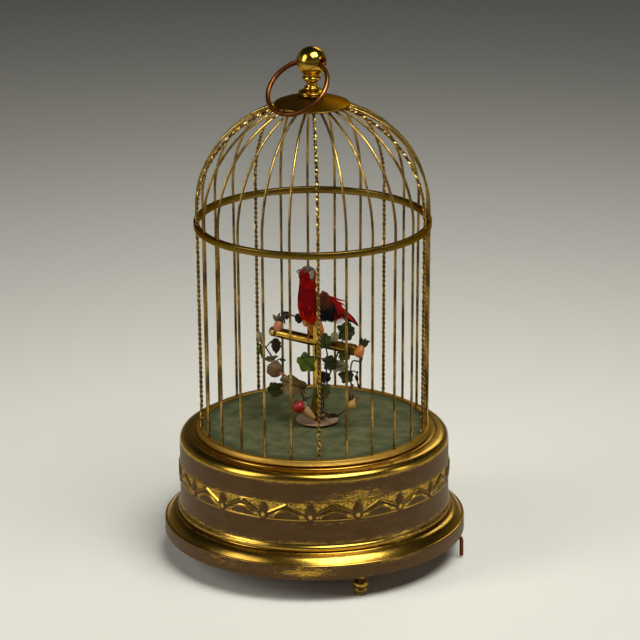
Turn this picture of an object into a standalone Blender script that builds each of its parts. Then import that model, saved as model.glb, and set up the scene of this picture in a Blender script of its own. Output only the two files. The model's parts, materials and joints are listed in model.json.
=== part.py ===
"""Singing bird automaton: a feathered bird on a perch in a domed brass cage.

The drum under the cage holds a spring driven movement with bellows and a slide whistle.
Metres, +Z up, origin on the table under the middle of the cage, the front towards -Y.
"""

import math

import bmesh
import bpy
from mathutils import Matrix, Vector

MM = 0.001
DEG = math.radians(1.0)
FULL_TURN = 2.0 * math.pi

# Clearances
GAP = 0.3 * MM
BAR_HOLE_CLEARANCE = 0.25 * MM
TOOTH_CLEARANCE = 0.25 * MM

# Feet
FOOT_HEIGHT = 12.9 * MM
FOOT_INSET = 10.0 * MM
FOOT_BALL_RADIUS = 4.3 * MM
FOOT_SOLE_RADIUS = 2.4 * MM
FOOT_STUD_RADIUS = 1.5 * MM
FOOT_STUD_LENGTH = 4.5 * MM
FOOT_COUNT = 3
FIRST_FOOT_ANGLE = 19.8 * DEG

# Plinth and base plate
PLINTH_EDGE_HEIGHT = 8.2 * MM
PLINTH_EDGE_ROUNDING = 0.8 * MM
PLINTH_SLOPE_HEIGHT = 4.3 * MM
PLINTH_SLOPE_WIDTH = 6.0 * MM
PLINTH_LEDGE = 1.2 * MM
PLINTH_SEAT_WIDTH = 3.5 * MM
PLATE_REBATE = 1.6 * MM
BASE_PLATE_THICKNESS = 2.0 * MM

# Drum
DRUM_RADIUS = 71.5 * MM
DRUM_WALL = 2.0 * MM
DRUM_HEIGHT = 42.9 * MM
DRUM_BEAD_HEIGHT = 4.15 * MM
DRUM_BEAD_STAND = 1.3 * MM
RIM_WIDTH = 6.3 * MM
RIM_HEIGHT = 4.4 * MM
RIM_LIP_THICKNESS = 1.7 * MM
RIM_LIP_WIDTH = 7.7 * MM
RIM_BEAD_INSET = 1.0 * MM
RIM_BEAD_HEIGHT = 0.6 * MM

# Cage floor and felt
SEAT_OUTSET = 1.5 * MM
SEAT_FLARE = 1.1 * MM
SEAT_WIDTH = 3.1 * MM
SEAT_HEIGHT = 2.8 * MM
FLOOR_THICKNESS = 1.3 * MM
FELT_THICKNESS = 0.9 * MM

# Cage
BAR_COUNT = 26
BAR_RADIUS = 0.72 * MM
TWISTED_BAR_RADIUS = 0.95 * MM
TWISTED_BAR_STEP = 5
FIRST_BAR_ANGLE = 2.5 * DEG
CAGE_INSET = 11.5 * MM
BAR_SPREAD = 1.0 * MM
BAR_STRAIGHT_HEIGHT = 118.2 * MM
DOME_HEIGHT = 57.7 * MM
BAR_SOCKET_DEPTH = 1.4 * MM
BAND_HEIGHT = 3.4 * MM
BAND_THICKNESS = 2.8 * MM
BAND_DROP = 7.4 * MM

# Crown cap and finial
CAP_RADIUS = 19.8 * MM
CAP_THICKNESS = 1.0 * MM
CAP_CROWN = 1.0 * MM
CAP_HUB_RADIUS = 8.9 * MM
CAP_HUB_DEPTH = 4.0 * MM
FINIAL_STUD_RADIUS = 1.7 * MM
FINIAL_BASE_RADIUS = 7.1 * MM
FINIAL_STEM_HEIGHT = 13.1 * MM
FINIAL_BALL_RADIUS = 7.8 * MM

# Hanging ring
RING_MEAN_RADIUS = 16.8 * MM
RING_WIRE_RADIUS = 1.25 * MM
RING_AXIS_ANGLE = -36.8 * DEG
RING_LEAN = 47.0 * DEG

# Perch
PERCH_X = 1.8 * MM
PERCH_BASE_RADIUS = 11.4 * MM
PERCH_BASE_THICKNESS = 1.6 * MM
POST_RADIUS = 2.3 * MM
POST_SPIGOT_RADIUS = 1.5 * MM
PERCH_HEIGHT = 45.3 * MM
PERCH_RADIUS = 2.7 * MM
PERCH_LEFT_LENGTH = 31.0 * MM
PERCH_RIGHT_LENGTH = 26.0 * MM
PERCH_TURN = -37.0 * DEG
PERCH_COLLAR_INSET = 1.2 * MM
PERCH_COLLAR_LENGTH = 4.3 * MM
PERCH_COLLAR_STEP = 0.1 * MM
POST_ABOVE_PERCH = 10.0 * MM

# Bird
BIRD_HEADING = 221.0 * DEG
HEAD_TURN = -24.0 * DEG
HEAD_RADIUS = 4.65 * MM
HEAD_ABOVE_NECK = 4.5 * MM
BEAK_REACH = 6.1 * MM
BEAK_RADIUS = 0.6 * MM
BEAK_HEIGHT = 2.9 * MM
BEAK_DROOP = 0.6 * MM
LOWER_BEAK_RADIUS = 0.5 * MM
LOWER_BEAK_HEIGHT = 1.45 * MM
LOWER_BEAK_RISE = 0.2 * MM
TAIL_LENGTH = 18.7 * MM
TAIL_WIDTH = 6.0 * MM
TAIL_THICKNESS = 1.5 * MM
TAIL_SLOPE = -34.0 * DEG
WING_OUTSET = 6.6 * MM
WING_THICKNESS = 1.7 * MM
WING_CROWN = 0.8 * MM
WING_CROWN_PLACE = (-3.0 * MM, 18.0 * MM)
WING_TAPER = 0.05
LEG_SPREAD = 3.7 * MM
HIP_FORWARD = 3.2 * MM
HIP_HEIGHT = 13.6 * MM
LEG_RADIUS = 0.8 * MM
TOE_RADIUS = 0.55 * MM

# Push rod
ROD_RADIUS = 0.65 * MM
ROD_TRAVEL = 2.0 * MM
ROD_FOOT_RADIUS = 1.3 * MM
ROD_FOOT_THICKNESS = 1.2 * MM
ROD_FOOT_LIFT = 2.0 * MM

# Movement
MODULE = 1.0 * MM
FAST_MODULE = 0.9 * MM
GREAT_WHEEL_TEETH = 40
SECOND_PINION_TEETH = 10
SECOND_WHEEL_TEETH = 30
CAM_WHEEL_TEETH = 30
FLY_PINION_TEETH = 8
WHEEL_THICKNESS = 2.0 * MM
BARREL_RADIUS = 17.5 * MM
BARREL_HEIGHT = 13.0 * MM
WHEEL_LIFT = 3.0 * MM
ARBOR_RADIUS = 1.3 * MM
KEY_ARBOR_RADIUS = 2.2 * MM
CAM_X = 3.0 * MM
CAM_Y = 8.0 * MM
CAM_MESH_ANGLE = 80.0 * DEG
BARREL_MESH_ANGLE = 200.0 * DEG
FLY_MESH_ANGLE = 300.0 * DEG
CAM_RADIUS = 10.5 * MM
CAM_THICKNESS = 1.5 * MM
CAM_COUNT = 3
CRANK_RADIUS = 6.0 * MM
CRANK_THICKNESS = 1.6 * MM
CRANK_PIN_RADIUS = 0.8 * MM
CRANK_PIN_LENGTH = 3.0 * MM
FLY_RADIUS = 8.0 * MM
FLY_HEIGHT = 8.0 * MM
FLY_BLADE = 1.0 * MM
PLATE_RADIUS = 52.0 * MM
PLATE_THICKNESS = 1.6 * MM
PLATE_LEVEL = 27.0 * MM
PILLAR_RADIUS = 2.4 * MM
PILLAR_INSET = 3.5 * MM
PILLAR_ANGLES = (0.0 * DEG, 90.0 * DEG, 160.0 * DEG, 282.0 * DEG)

# Winding key
KEY_WING_SPAN = 24.0 * MM
KEY_WING_HEIGHT = 6.5 * MM
KEY_WING_THICKNESS = 1.8 * MM
KEY_HUB_RADIUS = 3.6 * MM
KEY_TABLE_CLEARANCE = 3.0 * MM

# Start lever
LEVER_ANGLE = 79.0 * DEG
LEVER_PIVOT_INSET = 20.0 * MM
LEVER_TIP_INSET = 1.6 * MM
LEVER_WIRE_RADIUS = 1.0 * MM
LEVER_DROP = 9.0 * MM
LEVER_BOSS_RADIUS = 3.2 * MM
LEVER_BOSS_STAND = 0.2 * MM
LEVER_BEND = 2.0 * MM

# Bellows and whistle
BELLOWS_LENGTH = 44.0 * MM
BELLOWS_WIDTH = 24.0 * MM
BELLOWS_Y = 22.5 * MM
BELLOWS_STAND = 1.5 * MM
BOARD_THICKNESS = 2.0 * MM
LID_THICKNESS = 1.6 * MM
BELLOWS_HEIGHT = 6.0 * MM
BELLOWS_FOLD = 1.6 * MM
BELLOWS_INSET = 0.6 * MM
BELLOWS_FOLDS = 5
BELLOWS_POST_RADIUS = 2.0 * MM
PIPE_RADIUS = 4.5 * MM
PIPE_WALL = 0.8 * MM
PIPE_LENGTH = 40.0 * MM
PIPE_X = -6.0 * MM
PIPE_Y = -36.0 * MM
PIPE_STAND = 0.8 * MM
PISTON_TRAVEL = 14.0 * MM
PISTON_HEAD_LENGTH = 5.0 * MM
PISTON_ROD_RADIUS = 0.9 * MM
PISTON_ROD_STAND = 4.0 * MM
PIPE_PLUG = 4.0 * MM
PIPE_FOOT_WIDTH = 3.0 * MM
MOUTH_WIDTH = 3.6 * MM

# Facets
LARGE_STEPS = 48
CAP_STEPS = 40
SMALL_STEPS = 20
FINIAL_STEPS = 16
RING_STEPS = 30
VINE_SIDES = 5
STALK_SIDES = 4
ROUND_SIDES = 12
HOLE_SIDES = 5
DOME_POINTS = 7

# Radii worked out from the sizes above
bar_circle = DRUM_RADIUS - CAGE_INSET
seat_radius_top = bar_circle + SEAT_OUTSET
seat_radius_low = seat_radius_top + SEAT_FLARE
seat_inner = seat_radius_top - SEAT_WIDTH
drum_inner = DRUM_RADIUS - DRUM_WALL
rim_inner = DRUM_RADIUS - RIM_WIDTH
rim_bead_radius = rim_inner - RIM_BEAD_INSET
lip_radius = rim_inner - RIM_LIP_WIDTH
plinth_step_radius = DRUM_RADIUS + DRUM_BEAD_STAND + PLINTH_LEDGE
plinth_radius = plinth_step_radius + PLINTH_SLOPE_WIDTH
plinth_inner = drum_inner - PLINTH_SEAT_WIDTH
rebate_radius = plinth_inner + PLATE_REBATE
foot_circle = plinth_radius - FOOT_INSET
post_bore = ROD_RADIUS + GAP
pillar_circle = PLATE_RADIUS - PILLAR_INSET

# Levels worked out from the sizes above
plinth_base = FOOT_HEIGHT + GAP
plinth_top = plinth_base + PLINTH_EDGE_HEIGHT + PLINTH_SLOPE_HEIGHT
base_plate_top = plinth_base + BASE_PLATE_THICKNESS
drum_base = plinth_top + GAP
drum_top = drum_base + DRUM_HEIGHT
floor_base = drum_top + GAP
floor_top = floor_base + FLOOR_THICKNESS
seat_top = floor_base + SEAT_HEIGHT
felt_base = floor_top + GAP
felt_top = felt_base + FELT_THICKNESS
bar_foot = seat_top - BAR_SOCKET_DEPTH + GAP
dome_base = seat_top + BAR_STRAIGHT_HEIGHT
dome_radius = bar_circle + BAR_SPREAD
band_top = dome_base - BAND_DROP + BAND_HEIGHT / 2.0
band_base = band_top - BAND_HEIGHT
post_base = felt_top + GAP
perch_z = felt_top + PERCH_HEIGHT
post_top = perch_z + POST_ABOVE_PERCH
train_base = base_plate_top + WHEEL_LIFT
plate_base = base_plate_top + PLATE_LEVEL
plate_top = plate_base + PLATE_THICKNESS


def cage_point(angle, radius, height):
    """A point at an angle counted from the front, towards the right."""
    return Vector((radius * math.sin(angle), -radius * math.cos(angle), height))


def dome_level(radius, outset=0.0):
    """The height of the dome's line, or of one standing off from it by outset."""
    share = min(1.0, radius / (dome_radius + outset))
    return dome_base + (DOME_HEIGHT + outset) * math.sqrt(1.0 - share * share)


def bar_line_radius(height):
    """How far the straight part of a bar stands from the middle at a height."""
    share = (height - bar_foot) / (dome_base - bar_foot)
    return bar_circle + BAR_SPREAD * share


# Materials

def finish(name, color, roughness, metallic):
    surface = bpy.data.materials.new(name)
    surface.use_nodes = True
    shader = surface.node_tree.nodes["Principled BSDF"]
    shader.inputs["Base Color"].default_value = (*color, 1.0)
    shader.inputs["Roughness"].default_value = roughness
    shader.inputs["Metallic"].default_value = metallic
    return surface


patina = finish("patinated_brass", (0.10, 0.065, 0.022), 0.42, 1.0)
gold = finish("gilt_brass", (0.55, 0.38, 0.10), 0.25, 1.0)
wire_brass = finish("cage_wire", (0.34, 0.25, 0.09), 0.33, 1.0)
twist_brass = finish("twisted_wire", (0.42, 0.31, 0.12), 0.33, 1.0)
copper_wire = finish("ring_wire", (0.30, 0.13, 0.05), 0.32, 1.0)
felt_green = finish("green_felt", (0.16, 0.17, 0.075), 0.95, 0.0)
cream = finish("cream_base", (0.50, 0.42, 0.26), 0.6, 0.0)
leaf_green = finish("painted_leaves", (0.05, 0.10, 0.02), 0.6, 0.0)
feather_red = finish("red_feathers", (0.50, 0.012, 0.010), 0.8, 0.0)
feather_black = finish("black_feathers", (0.012, 0.010, 0.012), 0.7, 0.0)
cap_grey = finish("grey_feathers", (0.14, 0.15, 0.13), 0.8, 0.0)
horn = finish("dark_horn", (0.03, 0.03, 0.028), 0.4, 0.0)
movement_brass = finish("movement_brass", (0.60, 0.45, 0.18), 0.35, 1.0)
steel = finish("steel", (0.42, 0.42, 0.43), 0.35, 1.0)
wood = finish("bellows_board", (0.35, 0.22, 0.11), 0.6, 0.0)
kid_leather = finish("bellows_skin", (0.62, 0.55, 0.45), 0.8, 0.0)


# Mesh tools

def face_outwards(bm):
    bmesh.ops.recalc_face_normals(bm, faces=bm.faces)
    if bm.calc_volume(signed=True) < 0.0:
        bmesh.ops.reverse_faces(bm, faces=bm.faces)
    return bm


def turned(outline, steps, ring=False):
    """Turn an outline of (radius, height) about Z; a ring's outline closes on itself."""
    bm = bmesh.new()
    verts = [bm.verts.new((radius, 0.0, height)) for radius, height in outline]
    pairs = list(zip(verts, verts[1:]))
    if ring:
        pairs.append((verts[-1], verts[0]))
    edges = [bm.edges.new(pair) for pair in pairs]
    bmesh.ops.spin(bm, geom=verts + edges, cent=(0, 0, 0), axis=(0, 0, 1),
                   angle=FULL_TURN, steps=steps, use_merge=True)
    bmesh.ops.remove_doubles(bm, verts=bm.verts, dist=0.002 * MM)
    return face_outwards(bm)


def disc(radius, low, high, steps):
    return turned([(0.0, low), (radius, low), (radius, high), (0.0, high)], steps)


def prism(outline, low, high):
    """A flat outline in X and Y, drawn up from one height to another."""
    bm = bmesh.new()
    base = bm.faces.new([bm.verts.new((x, y, low)) for x, y in outline])
    grown = bmesh.ops.extrude_face_region(bm, geom=[base])
    risen = [item for item in grown["geom"] if isinstance(item, bmesh.types.BMVert)]
    bmesh.ops.translate(bm, verts=risen, vec=(0, 0, high - low))
    return face_outwards(bm)


def block(low, high):
    """A box between two corners."""
    return prism([(low[0], low[1]), (high[0], low[1]), (high[0], high[1]), (low[0], high[1])],
                 low[2], high[2])


def loft(rings):
    """Join rings of points, all of one count, into a closed skin with flat ends."""
    bm = bmesh.new()
    rows = [[bm.verts.new(point) for point in ring] for ring in rings]
    sides = len(rows[0])
    for row, following in zip(rows, rows[1:]):
        for index in range(sides):
            turn = (index + 1) % sides
            bm.faces.new((row[index], row[turn], following[turn], following[index]))
    bm.faces.new(rows[0])
    bm.faces.new(rows[-1])
    return face_outwards(bm)


def round_ring(centre, across, upright, sides):
    """A ring of points about a centre, from its two half-width vectors."""
    return [centre + across * math.cos(FULL_TURN * i / sides)
            + upright * math.sin(FULL_TURN * i / sides) for i in range(sides)]


def tube(points, radii, sides):
    """A round tube through points, with a radius at each."""
    points = [Vector(point) for point in points]
    side = None
    rings = []
    for index, point in enumerate(points):
        before = points[max(index - 1, 0)]
        after = points[min(index + 1, len(points) - 1)]
        along = (after - before).normalized()
        if side is None:
            side = along.orthogonal().normalized()
        side = (side - along * side.dot(along)).normalized()
        rings.append(round_ring(point, side * radii[index],
                                along.cross(side) * radii[index], sides))
    return loft(rings)


def sphere(centre, radius, around, rows):
    bm = bmesh.new()
    bmesh.ops.create_uvsphere(bm, u_segments=around, v_segments=rows, radius=radius)
    bmesh.ops.translate(bm, verts=bm.verts, vec=centre)
    return bm


def put(name, bm, surface, location=(0, 0, 0), parent=None):
    """Make the object for a mesh, smooth where it is round."""
    mesh = bpy.data.meshes.new(name)
    bm.to_mesh(mesh)
    bm.free()
    mesh.shade_smooth()
    mesh.set_sharp_from_angle(angle=38.0 * DEG)
    mesh.materials.append(surface)
    item = bpy.data.objects.new(name, mesh)
    bpy.context.scene.collection.objects.link(item)
    item.location = location
    item.parent = parent
    return item


def shape(item, operation, *tools):
    """Cut from an object, or join to it, the shapes of other meshes."""
    for bm in tools:
        count = len(item.modifiers) + 1
        tool = put(f"{item.name}_tool_{count}", bm, item.data.materials[0])
        tool.hide_render = True
        tool.display_type = "WIRE"
        change = item.modifiers.new(f"{operation.lower()} {count}", "BOOLEAN")
        change.operation = operation
        change.solver = "EXACT"
        change.object = tool
    return item


def upright(x, y, radius, low, high, sides=ROUND_SIDES):
    """An upright cylinder, for a hole, a pin or a pillar."""
    bm = disc(radius, low, high, sides)
    bmesh.ops.translate(bm, verts=bm.verts, vec=(x, y, 0))
    return bm


def joined(meshes):
    """Put separate meshes that don't touch into one cutter."""
    bm = bmesh.new()
    for part in meshes:
        carrier = bpy.data.meshes.new("part_of_cutter")
        part.to_mesh(carrier)
        part.free()
        bm.from_mesh(carrier)
        bpy.data.meshes.remove(carrier)
    return bm


def gear_outline(teeth, module):
    """The outline of a spur wheel with straight-sided teeth, one tooth on +X."""
    pitch_radius = teeth * module / 2.0
    root = pitch_radius - 1.15 * module
    tip = pitch_radius + 0.8 * module
    pitch = FULL_TURN / teeth
    thinning = TOOTH_CLEARANCE / pitch_radius
    root_half = 0.29 * pitch - thinning / 2.0
    tip_half = 0.13 * pitch - thinning / 2.0
    outline = []
    for tooth in range(teeth):
        middle = tooth * pitch
        for radius, offset in ((root, -root_half), (tip, -tip_half),
                               (tip, tip_half), (root, root_half)):
            outline.append((radius * math.cos(middle + offset),
                            radius * math.sin(middle + offset)))
    return outline


def wheel(teeth, module, low, high, turn=0.0):
    bm = prism(gear_outline(teeth, module), low, high)
    bmesh.ops.rotate(bm, verts=bm.verts, cent=(0, 0, 0), matrix=Matrix.Rotation(turn, 3, "Z"))
    return bm


# Feet, plinth and base plate

def make_foot(number):
    ball = FOOT_BALL_RADIUS
    outline = [
        (0.0, 0.0),
        (FOOT_SOLE_RADIUS, 0.0),
        (0.74 * ball, 0.14 * FOOT_HEIGHT),
        (0.70 * ball, 0.30 * FOOT_HEIGHT),
        (0.84 * ball, 0.36 * FOOT_HEIGHT),
        (0.80 * ball, 0.42 * FOOT_HEIGHT),
        (0.97 * ball, 0.56 * FOOT_HEIGHT),
        (ball, 0.68 * FOOT_HEIGHT),
        (0.88 * ball, 0.84 * FOOT_HEIGHT),
        (0.66 * ball, 0.93 * FOOT_HEIGHT),
        (0.80 * ball, FOOT_HEIGHT),
        (FOOT_STUD_RADIUS, FOOT_HEIGHT),
        (FOOT_STUD_RADIUS, FOOT_HEIGHT + FOOT_STUD_LENGTH),
        (0.0, FOOT_HEIGHT + FOOT_STUD_LENGTH),
    ]
    place = cage_point(foot_angle(number), foot_circle, 0.0)
    return put(f"foot_{number + 1}", turned(outline, ROUND_SIDES), patina, place)


def foot_angle(number):
    return FIRST_FOOT_ANGLE + number * FULL_TURN / FOOT_COUNT


def make_plinth():
    rebate_top = base_plate_top + GAP
    edge_top = plinth_base + PLINTH_EDGE_HEIGHT
    soft = PLINTH_EDGE_ROUNDING
    slope_middle = (plinth_radius + plinth_step_radius) / 2.0
    outline = [
        (rebate_radius, plinth_base),
        (plinth_radius - soft, plinth_base),
        (plinth_radius, plinth_base + soft),
        (plinth_radius, edge_top - soft),
        (plinth_radius - soft, edge_top),
        (slope_middle, edge_top + 0.34 * PLINTH_SLOPE_HEIGHT),
        (plinth_step_radius, plinth_top - 0.15 * PLINTH_SLOPE_HEIGHT),
        (plinth_step_radius - soft, plinth_top),
        (plinth_inner, plinth_top),
        (plinth_inner, rebate_top),
        (rebate_radius, rebate_top),
    ]
    plinth = put("plinth", turned(outline, LARGE_STEPS, ring=True), patina)
    sockets = []
    for number in range(FOOT_COUNT):
        place = cage_point(foot_angle(number), foot_circle, 0.0)
        sockets.append(upright(place.x, place.y, FOOT_STUD_RADIUS + GAP, plinth_base - GAP,
                               FOOT_HEIGHT + FOOT_STUD_LENGTH + GAP, 8))
    return shape(plinth, "DIFFERENCE", joined(sockets))


def lever_pivot():
    return cage_point(LEVER_ANGLE, plinth_inner - LEVER_PIVOT_INSET, 0.0)


def make_base_plate():
    radius = rebate_radius - GAP
    plate = put("base_plate", disc(radius, plinth_base, base_plate_top, LARGE_STEPS), patina)
    low = plinth_base - GAP
    high = base_plate_top + GAP
    pivot = lever_pivot()
    holes = [
        upright(barrel_at.x, barrel_at.y, KEY_ARBOR_RADIUS + GAP, low, high),
        upright(pivot.x, pivot.y, LEVER_WIRE_RADIUS + GAP, low, high, 8),
    ]
    return shape(plate, "DIFFERENCE", joined(holes))


# Drum, cage floor and felt

def make_drum():
    bead = DRUM_RADIUS + DRUM_BEAD_STAND
    bead_top = drum_base + DRUM_BEAD_HEIGHT
    rim_base = drum_top - RIM_HEIGHT - RIM_BEAD_HEIGHT
    rim_top = drum_top - RIM_BEAD_HEIGHT
    lip_base = drum_top - RIM_LIP_THICKNESS
    outline = [
        (drum_inner, drum_base),
        (bead - 0.4 * DRUM_BEAD_STAND, drum_base),
        (bead, drum_base + 0.25 * DRUM_BEAD_HEIGHT),
        (bead, drum_base + 0.65 * DRUM_BEAD_HEIGHT),
        (DRUM_RADIUS, bead_top),
    ]
    for step in range(5):
        turn = step * 90.0 * DEG / 4.0
        outline.append((rim_inner + RIM_WIDTH * math.cos(turn),
                        rim_base + RIM_HEIGHT * math.sin(turn)))
    outline += [
        (rim_bead_radius, rim_top),
        (rim_bead_radius - RIM_BEAD_HEIGHT, drum_top),
        (lip_radius, drum_top),
        (lip_radius, lip_base),
        (rim_inner, lip_base),
        (drum_inner, rim_base),
    ]
    return put("drum", turned(outline, LARGE_STEPS, ring=True), patina)


def bar_angle(index):
    return FIRST_BAR_ANGLE + index * FULL_TURN / BAR_COUNT


def is_twisted(index):
    return index % TWISTED_BAR_STEP == 0 and index < BAR_COUNT - 1


def bar_thickness(index):
    return TWISTED_BAR_RADIUS if is_twisted(index) else BAR_RADIUS


def bar_holes(low, high, circle_radius, sides):
    """One hole for each bar, as wide as that bar and its clearance."""
    holes = []
    for index in range(BAR_COUNT):
        place = cage_point(bar_angle(index), circle_radius, 0.0)
        radius = bar_thickness(index) + BAR_HOLE_CLEARANCE
        holes.append(upright(place.x, place.y, radius, low, high, sides))
    return joined(holes)


def make_cage_floor():
    outline = [
        (0.0, floor_base),
        (seat_radius_low, floor_base),
        (seat_radius_top, seat_top),
        (seat_inner, seat_top),
        (seat_inner, floor_top),
        (0.0, floor_top),
    ]
    floor = put("cage_floor", turned(outline, LARGE_STEPS), gold)
    sockets = bar_holes(seat_top - BAR_SOCKET_DEPTH, seat_top + GAP, bar_circle, HOLE_SIDES)
    passage = upright(PERCH_X, 0.0, post_bore, floor_base - GAP, floor_top + GAP, 8)
    return shape(floor, "DIFFERENCE", sockets, passage)


def make_felt():
    radius = seat_inner - GAP
    felt = put("felt_floor", disc(radius, felt_base, felt_top, LARGE_STEPS), felt_green)
    passage = upright(PERCH_X, 0.0, post_bore, felt_base - GAP, felt_top + GAP, 8)
    return shape(felt, "DIFFERENCE", passage)


# Cage bars, band and cap

def bar_curve(name, radius, surface):
    """One bar, drawn in the plane of X and Z: straight, then over the dome to the cap."""
    last_angle = math.acos((CAP_HUB_RADIUS + GAP) / dome_radius)
    points = [(bar_circle, bar_foot)]
    for step in range(DOME_POINTS + 1):
        turn = last_angle * step / DOME_POINTS
        points.append((dome_radius * math.cos(turn), dome_base + DOME_HEIGHT * math.sin(turn)))
    curve = bpy.data.curves.new(name, "CURVE")
    curve.dimensions = "3D"
    curve.bevel_depth = radius
    curve.bevel_resolution = 1
    curve.use_fill_caps = True
    line = curve.splines.new("POLY")
    line.points.add(len(points) - 1)
    for point, (across, height) in zip(line.points, points):
        point.co = (across, 0.0, height, 1.0)
    curve.materials.append(surface)
    return curve


def make_bars():
    plain = bar_curve("plain_bar", BAR_RADIUS, wire_brass)
    twisted = bar_curve("twisted_bar", TWISTED_BAR_RADIUS, twist_brass)
    plain_count = 0
    twisted_count = 0
    for index in range(BAR_COUNT):
        if is_twisted(index):
            twisted_count += 1
            bar = bpy.data.objects.new(f"twisted_bar_{twisted_count}", twisted)
        else:
            plain_count += 1
            bar = bpy.data.objects.new(f"cage_bar_{plain_count:02d}", plain)
        bpy.context.scene.collection.objects.link(bar)
        bar.rotation_euler.z = bar_angle(index) - 90.0 * DEG


def make_band():
    middle = bar_line_radius((band_base + band_top) / 2.0)
    inner = middle - BAND_THICKNESS / 2.0
    outer = middle + BAND_THICKNESS / 2.0
    outline = [(inner, band_base), (outer, band_base), (outer, band_top), (inner, band_top)]
    band = put("middle_band", turned(outline, 2 * BAR_COUNT, ring=True), wire_brass)
    holes = bar_holes(band_base - GAP, band_top + GAP, middle, HOLE_SIDES)
    return shape(band, "DIFFERENCE", holes)


cap_outset = TWISTED_BAR_RADIUS + GAP


def cap_under(radius):
    return dome_level(radius, cap_outset)


def cap_over(radius):
    return cap_under(radius) + CAP_THICKNESS + CAP_CROWN * (1.0 - (radius / CAP_RADIUS) ** 2)


def make_cap():
    bore = FINIAL_STUD_RADIUS + GAP
    hub_base = cap_under(CAP_HUB_RADIUS) - CAP_HUB_DEPTH
    over = [bore + (CAP_RADIUS - bore) * share for share in (0.0, 0.28, 0.52, 0.76, 0.97)]
    under = [CAP_HUB_RADIUS + (CAP_RADIUS - CAP_HUB_RADIUS) * share for share in (1.0, 0.55, 0.0)]
    outline = [(radius, cap_over(radius)) for radius in over]
    outline.append((CAP_RADIUS, cap_over(CAP_RADIUS) - 0.2 * MM))
    outline += [(radius, cap_under(radius)) for radius in under]
    outline += [(CAP_HUB_RADIUS, hub_base), (bore, hub_base)]
    return put("crown_cap", turned(outline, CAP_STEPS, ring=True), patina)


finial_base = cap_over(FINIAL_STUD_RADIUS + GAP) + GAP
ball_centre = Vector((0.0, 0.0, finial_base + FINIAL_STEM_HEIGHT + 0.62 * FINIAL_BALL_RADIUS))
ring_axis = Vector((math.cos(RING_AXIS_ANGLE), math.sin(RING_AXIS_ANGLE), 0.0))
ring_hang = Vector((
    math.sin(RING_LEAN) * math.sin(RING_AXIS_ANGLE),
    -math.sin(RING_LEAN) * math.cos(RING_AXIS_ANGLE),
    -math.cos(RING_LEAN),
))


def make_finial():
    base = FINIAL_BASE_RADIUS
    stem = FINIAL_STEM_HEIGHT
    waist = 0.44 * base
    bead = 0.70 * base
    outline = [
        (0.0, cap_under(CAP_HUB_RADIUS) - CAP_HUB_DEPTH),
        (FINIAL_STUD_RADIUS, cap_under(CAP_HUB_RADIUS) - CAP_HUB_DEPTH),
        (FINIAL_STUD_RADIUS, finial_base),
        (0.95 * base, finial_base),
        (base, finial_base + 0.10 * stem),
        (0.92 * base, finial_base + 0.17 * stem),
        (0.55 * base, finial_base + 0.26 * stem),
        (0.46 * base, finial_base + 0.29 * stem),
        (0.545 * base, finial_base + 0.36 * stem),
        (0.46 * base, finial_base + 0.44 * stem),
        (waist, finial_base + 0.50 * stem),
        (0.47 * base, finial_base + 0.60 * stem),
        (bead, finial_base + 0.70 * stem),
        (0.66 * base, finial_base + 0.79 * stem),
        (0.74 * base, finial_base + 0.86 * stem),
        (0.83 * base, finial_base + 0.97 * stem),
    ]
    lowest = -0.62
    rows = 9
    for row in range(rows):
        turn = math.asin(lowest) + (90.0 * DEG - math.asin(lowest)) * row / (rows - 1)
        radius = FINIAL_BALL_RADIUS * math.cos(turn)
        if row == rows - 1:
            radius = 0.0
        outline.append((radius, ball_centre.z + FINIAL_BALL_RADIUS * math.sin(turn)))
    finial = put("finial", turned(outline, FINIAL_STEPS), gold)
    return shape(finial, "DIFFERENCE", ring_passage())


def ring_passage():
    """The cross hole, flared so that the curved ring can swing all the way round in it."""
    reach = FINIAL_BALL_RADIUS + 1.0 * MM
    room = RING_WIRE_RADIUS + GAP
    rows = (1.0, 0.6, 0.25, 0.0)
    half = []
    for share in rows:
        along = reach * share
        drop = RING_MEAN_RADIUS - math.sqrt(RING_MEAN_RADIUS ** 2 - along ** 2)
        half.append((drop + room, along))
    outline = [(0.0, reach)] + half
    outline += [(radius, -along) for radius, along in reversed(half[:-1])]
    outline.append((0.0, -reach))
    bm = turned(outline, ROUND_SIDES)
    lie_along = ring_axis.to_track_quat("Z", "Y").to_matrix()
    bmesh.ops.rotate(bm, verts=bm.verts, cent=(0, 0, 0), matrix=lie_along)
    bmesh.ops.translate(bm, verts=bm.verts, vec=ball_centre)
    return bm


def make_ring():
    """A wire ring, hung so that its wire runs through the middle of the ball."""
    steps = RING_STEPS
    sides = 8
    bm = bmesh.new()
    centre = ring_hang * RING_MEAN_RADIUS
    normal = ring_axis.cross(ring_hang)
    rows = []
    for step in range(steps):
        turn = FULL_TURN * step / steps
        outwards = ring_axis * math.sin(turn) - ring_hang * math.cos(turn)
        place = centre + outwards * RING_MEAN_RADIUS
        points = round_ring(place, outwards * RING_WIRE_RADIUS, normal * RING_WIRE_RADIUS, sides)
        rows.append([bm.verts.new(point) for point in points])
    for index, row in enumerate(rows):
        following = rows[(index + 1) % steps]
        for side in range(sides):
            turn = (side + 1) % sides
            bm.faces.new((row[side], row[turn], following[turn], following[side]))
    return put("hanging_ring", face_outwards(bm), copper_wire, ball_centre)


# Perch and push rod

perch_line = Vector((math.cos(PERCH_TURN), math.sin(PERCH_TURN), 0.0))
perch_middle = Vector((PERCH_X, 0.0, perch_z))


def along_perch(distance):
    return perch_middle + perch_line * distance


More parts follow.
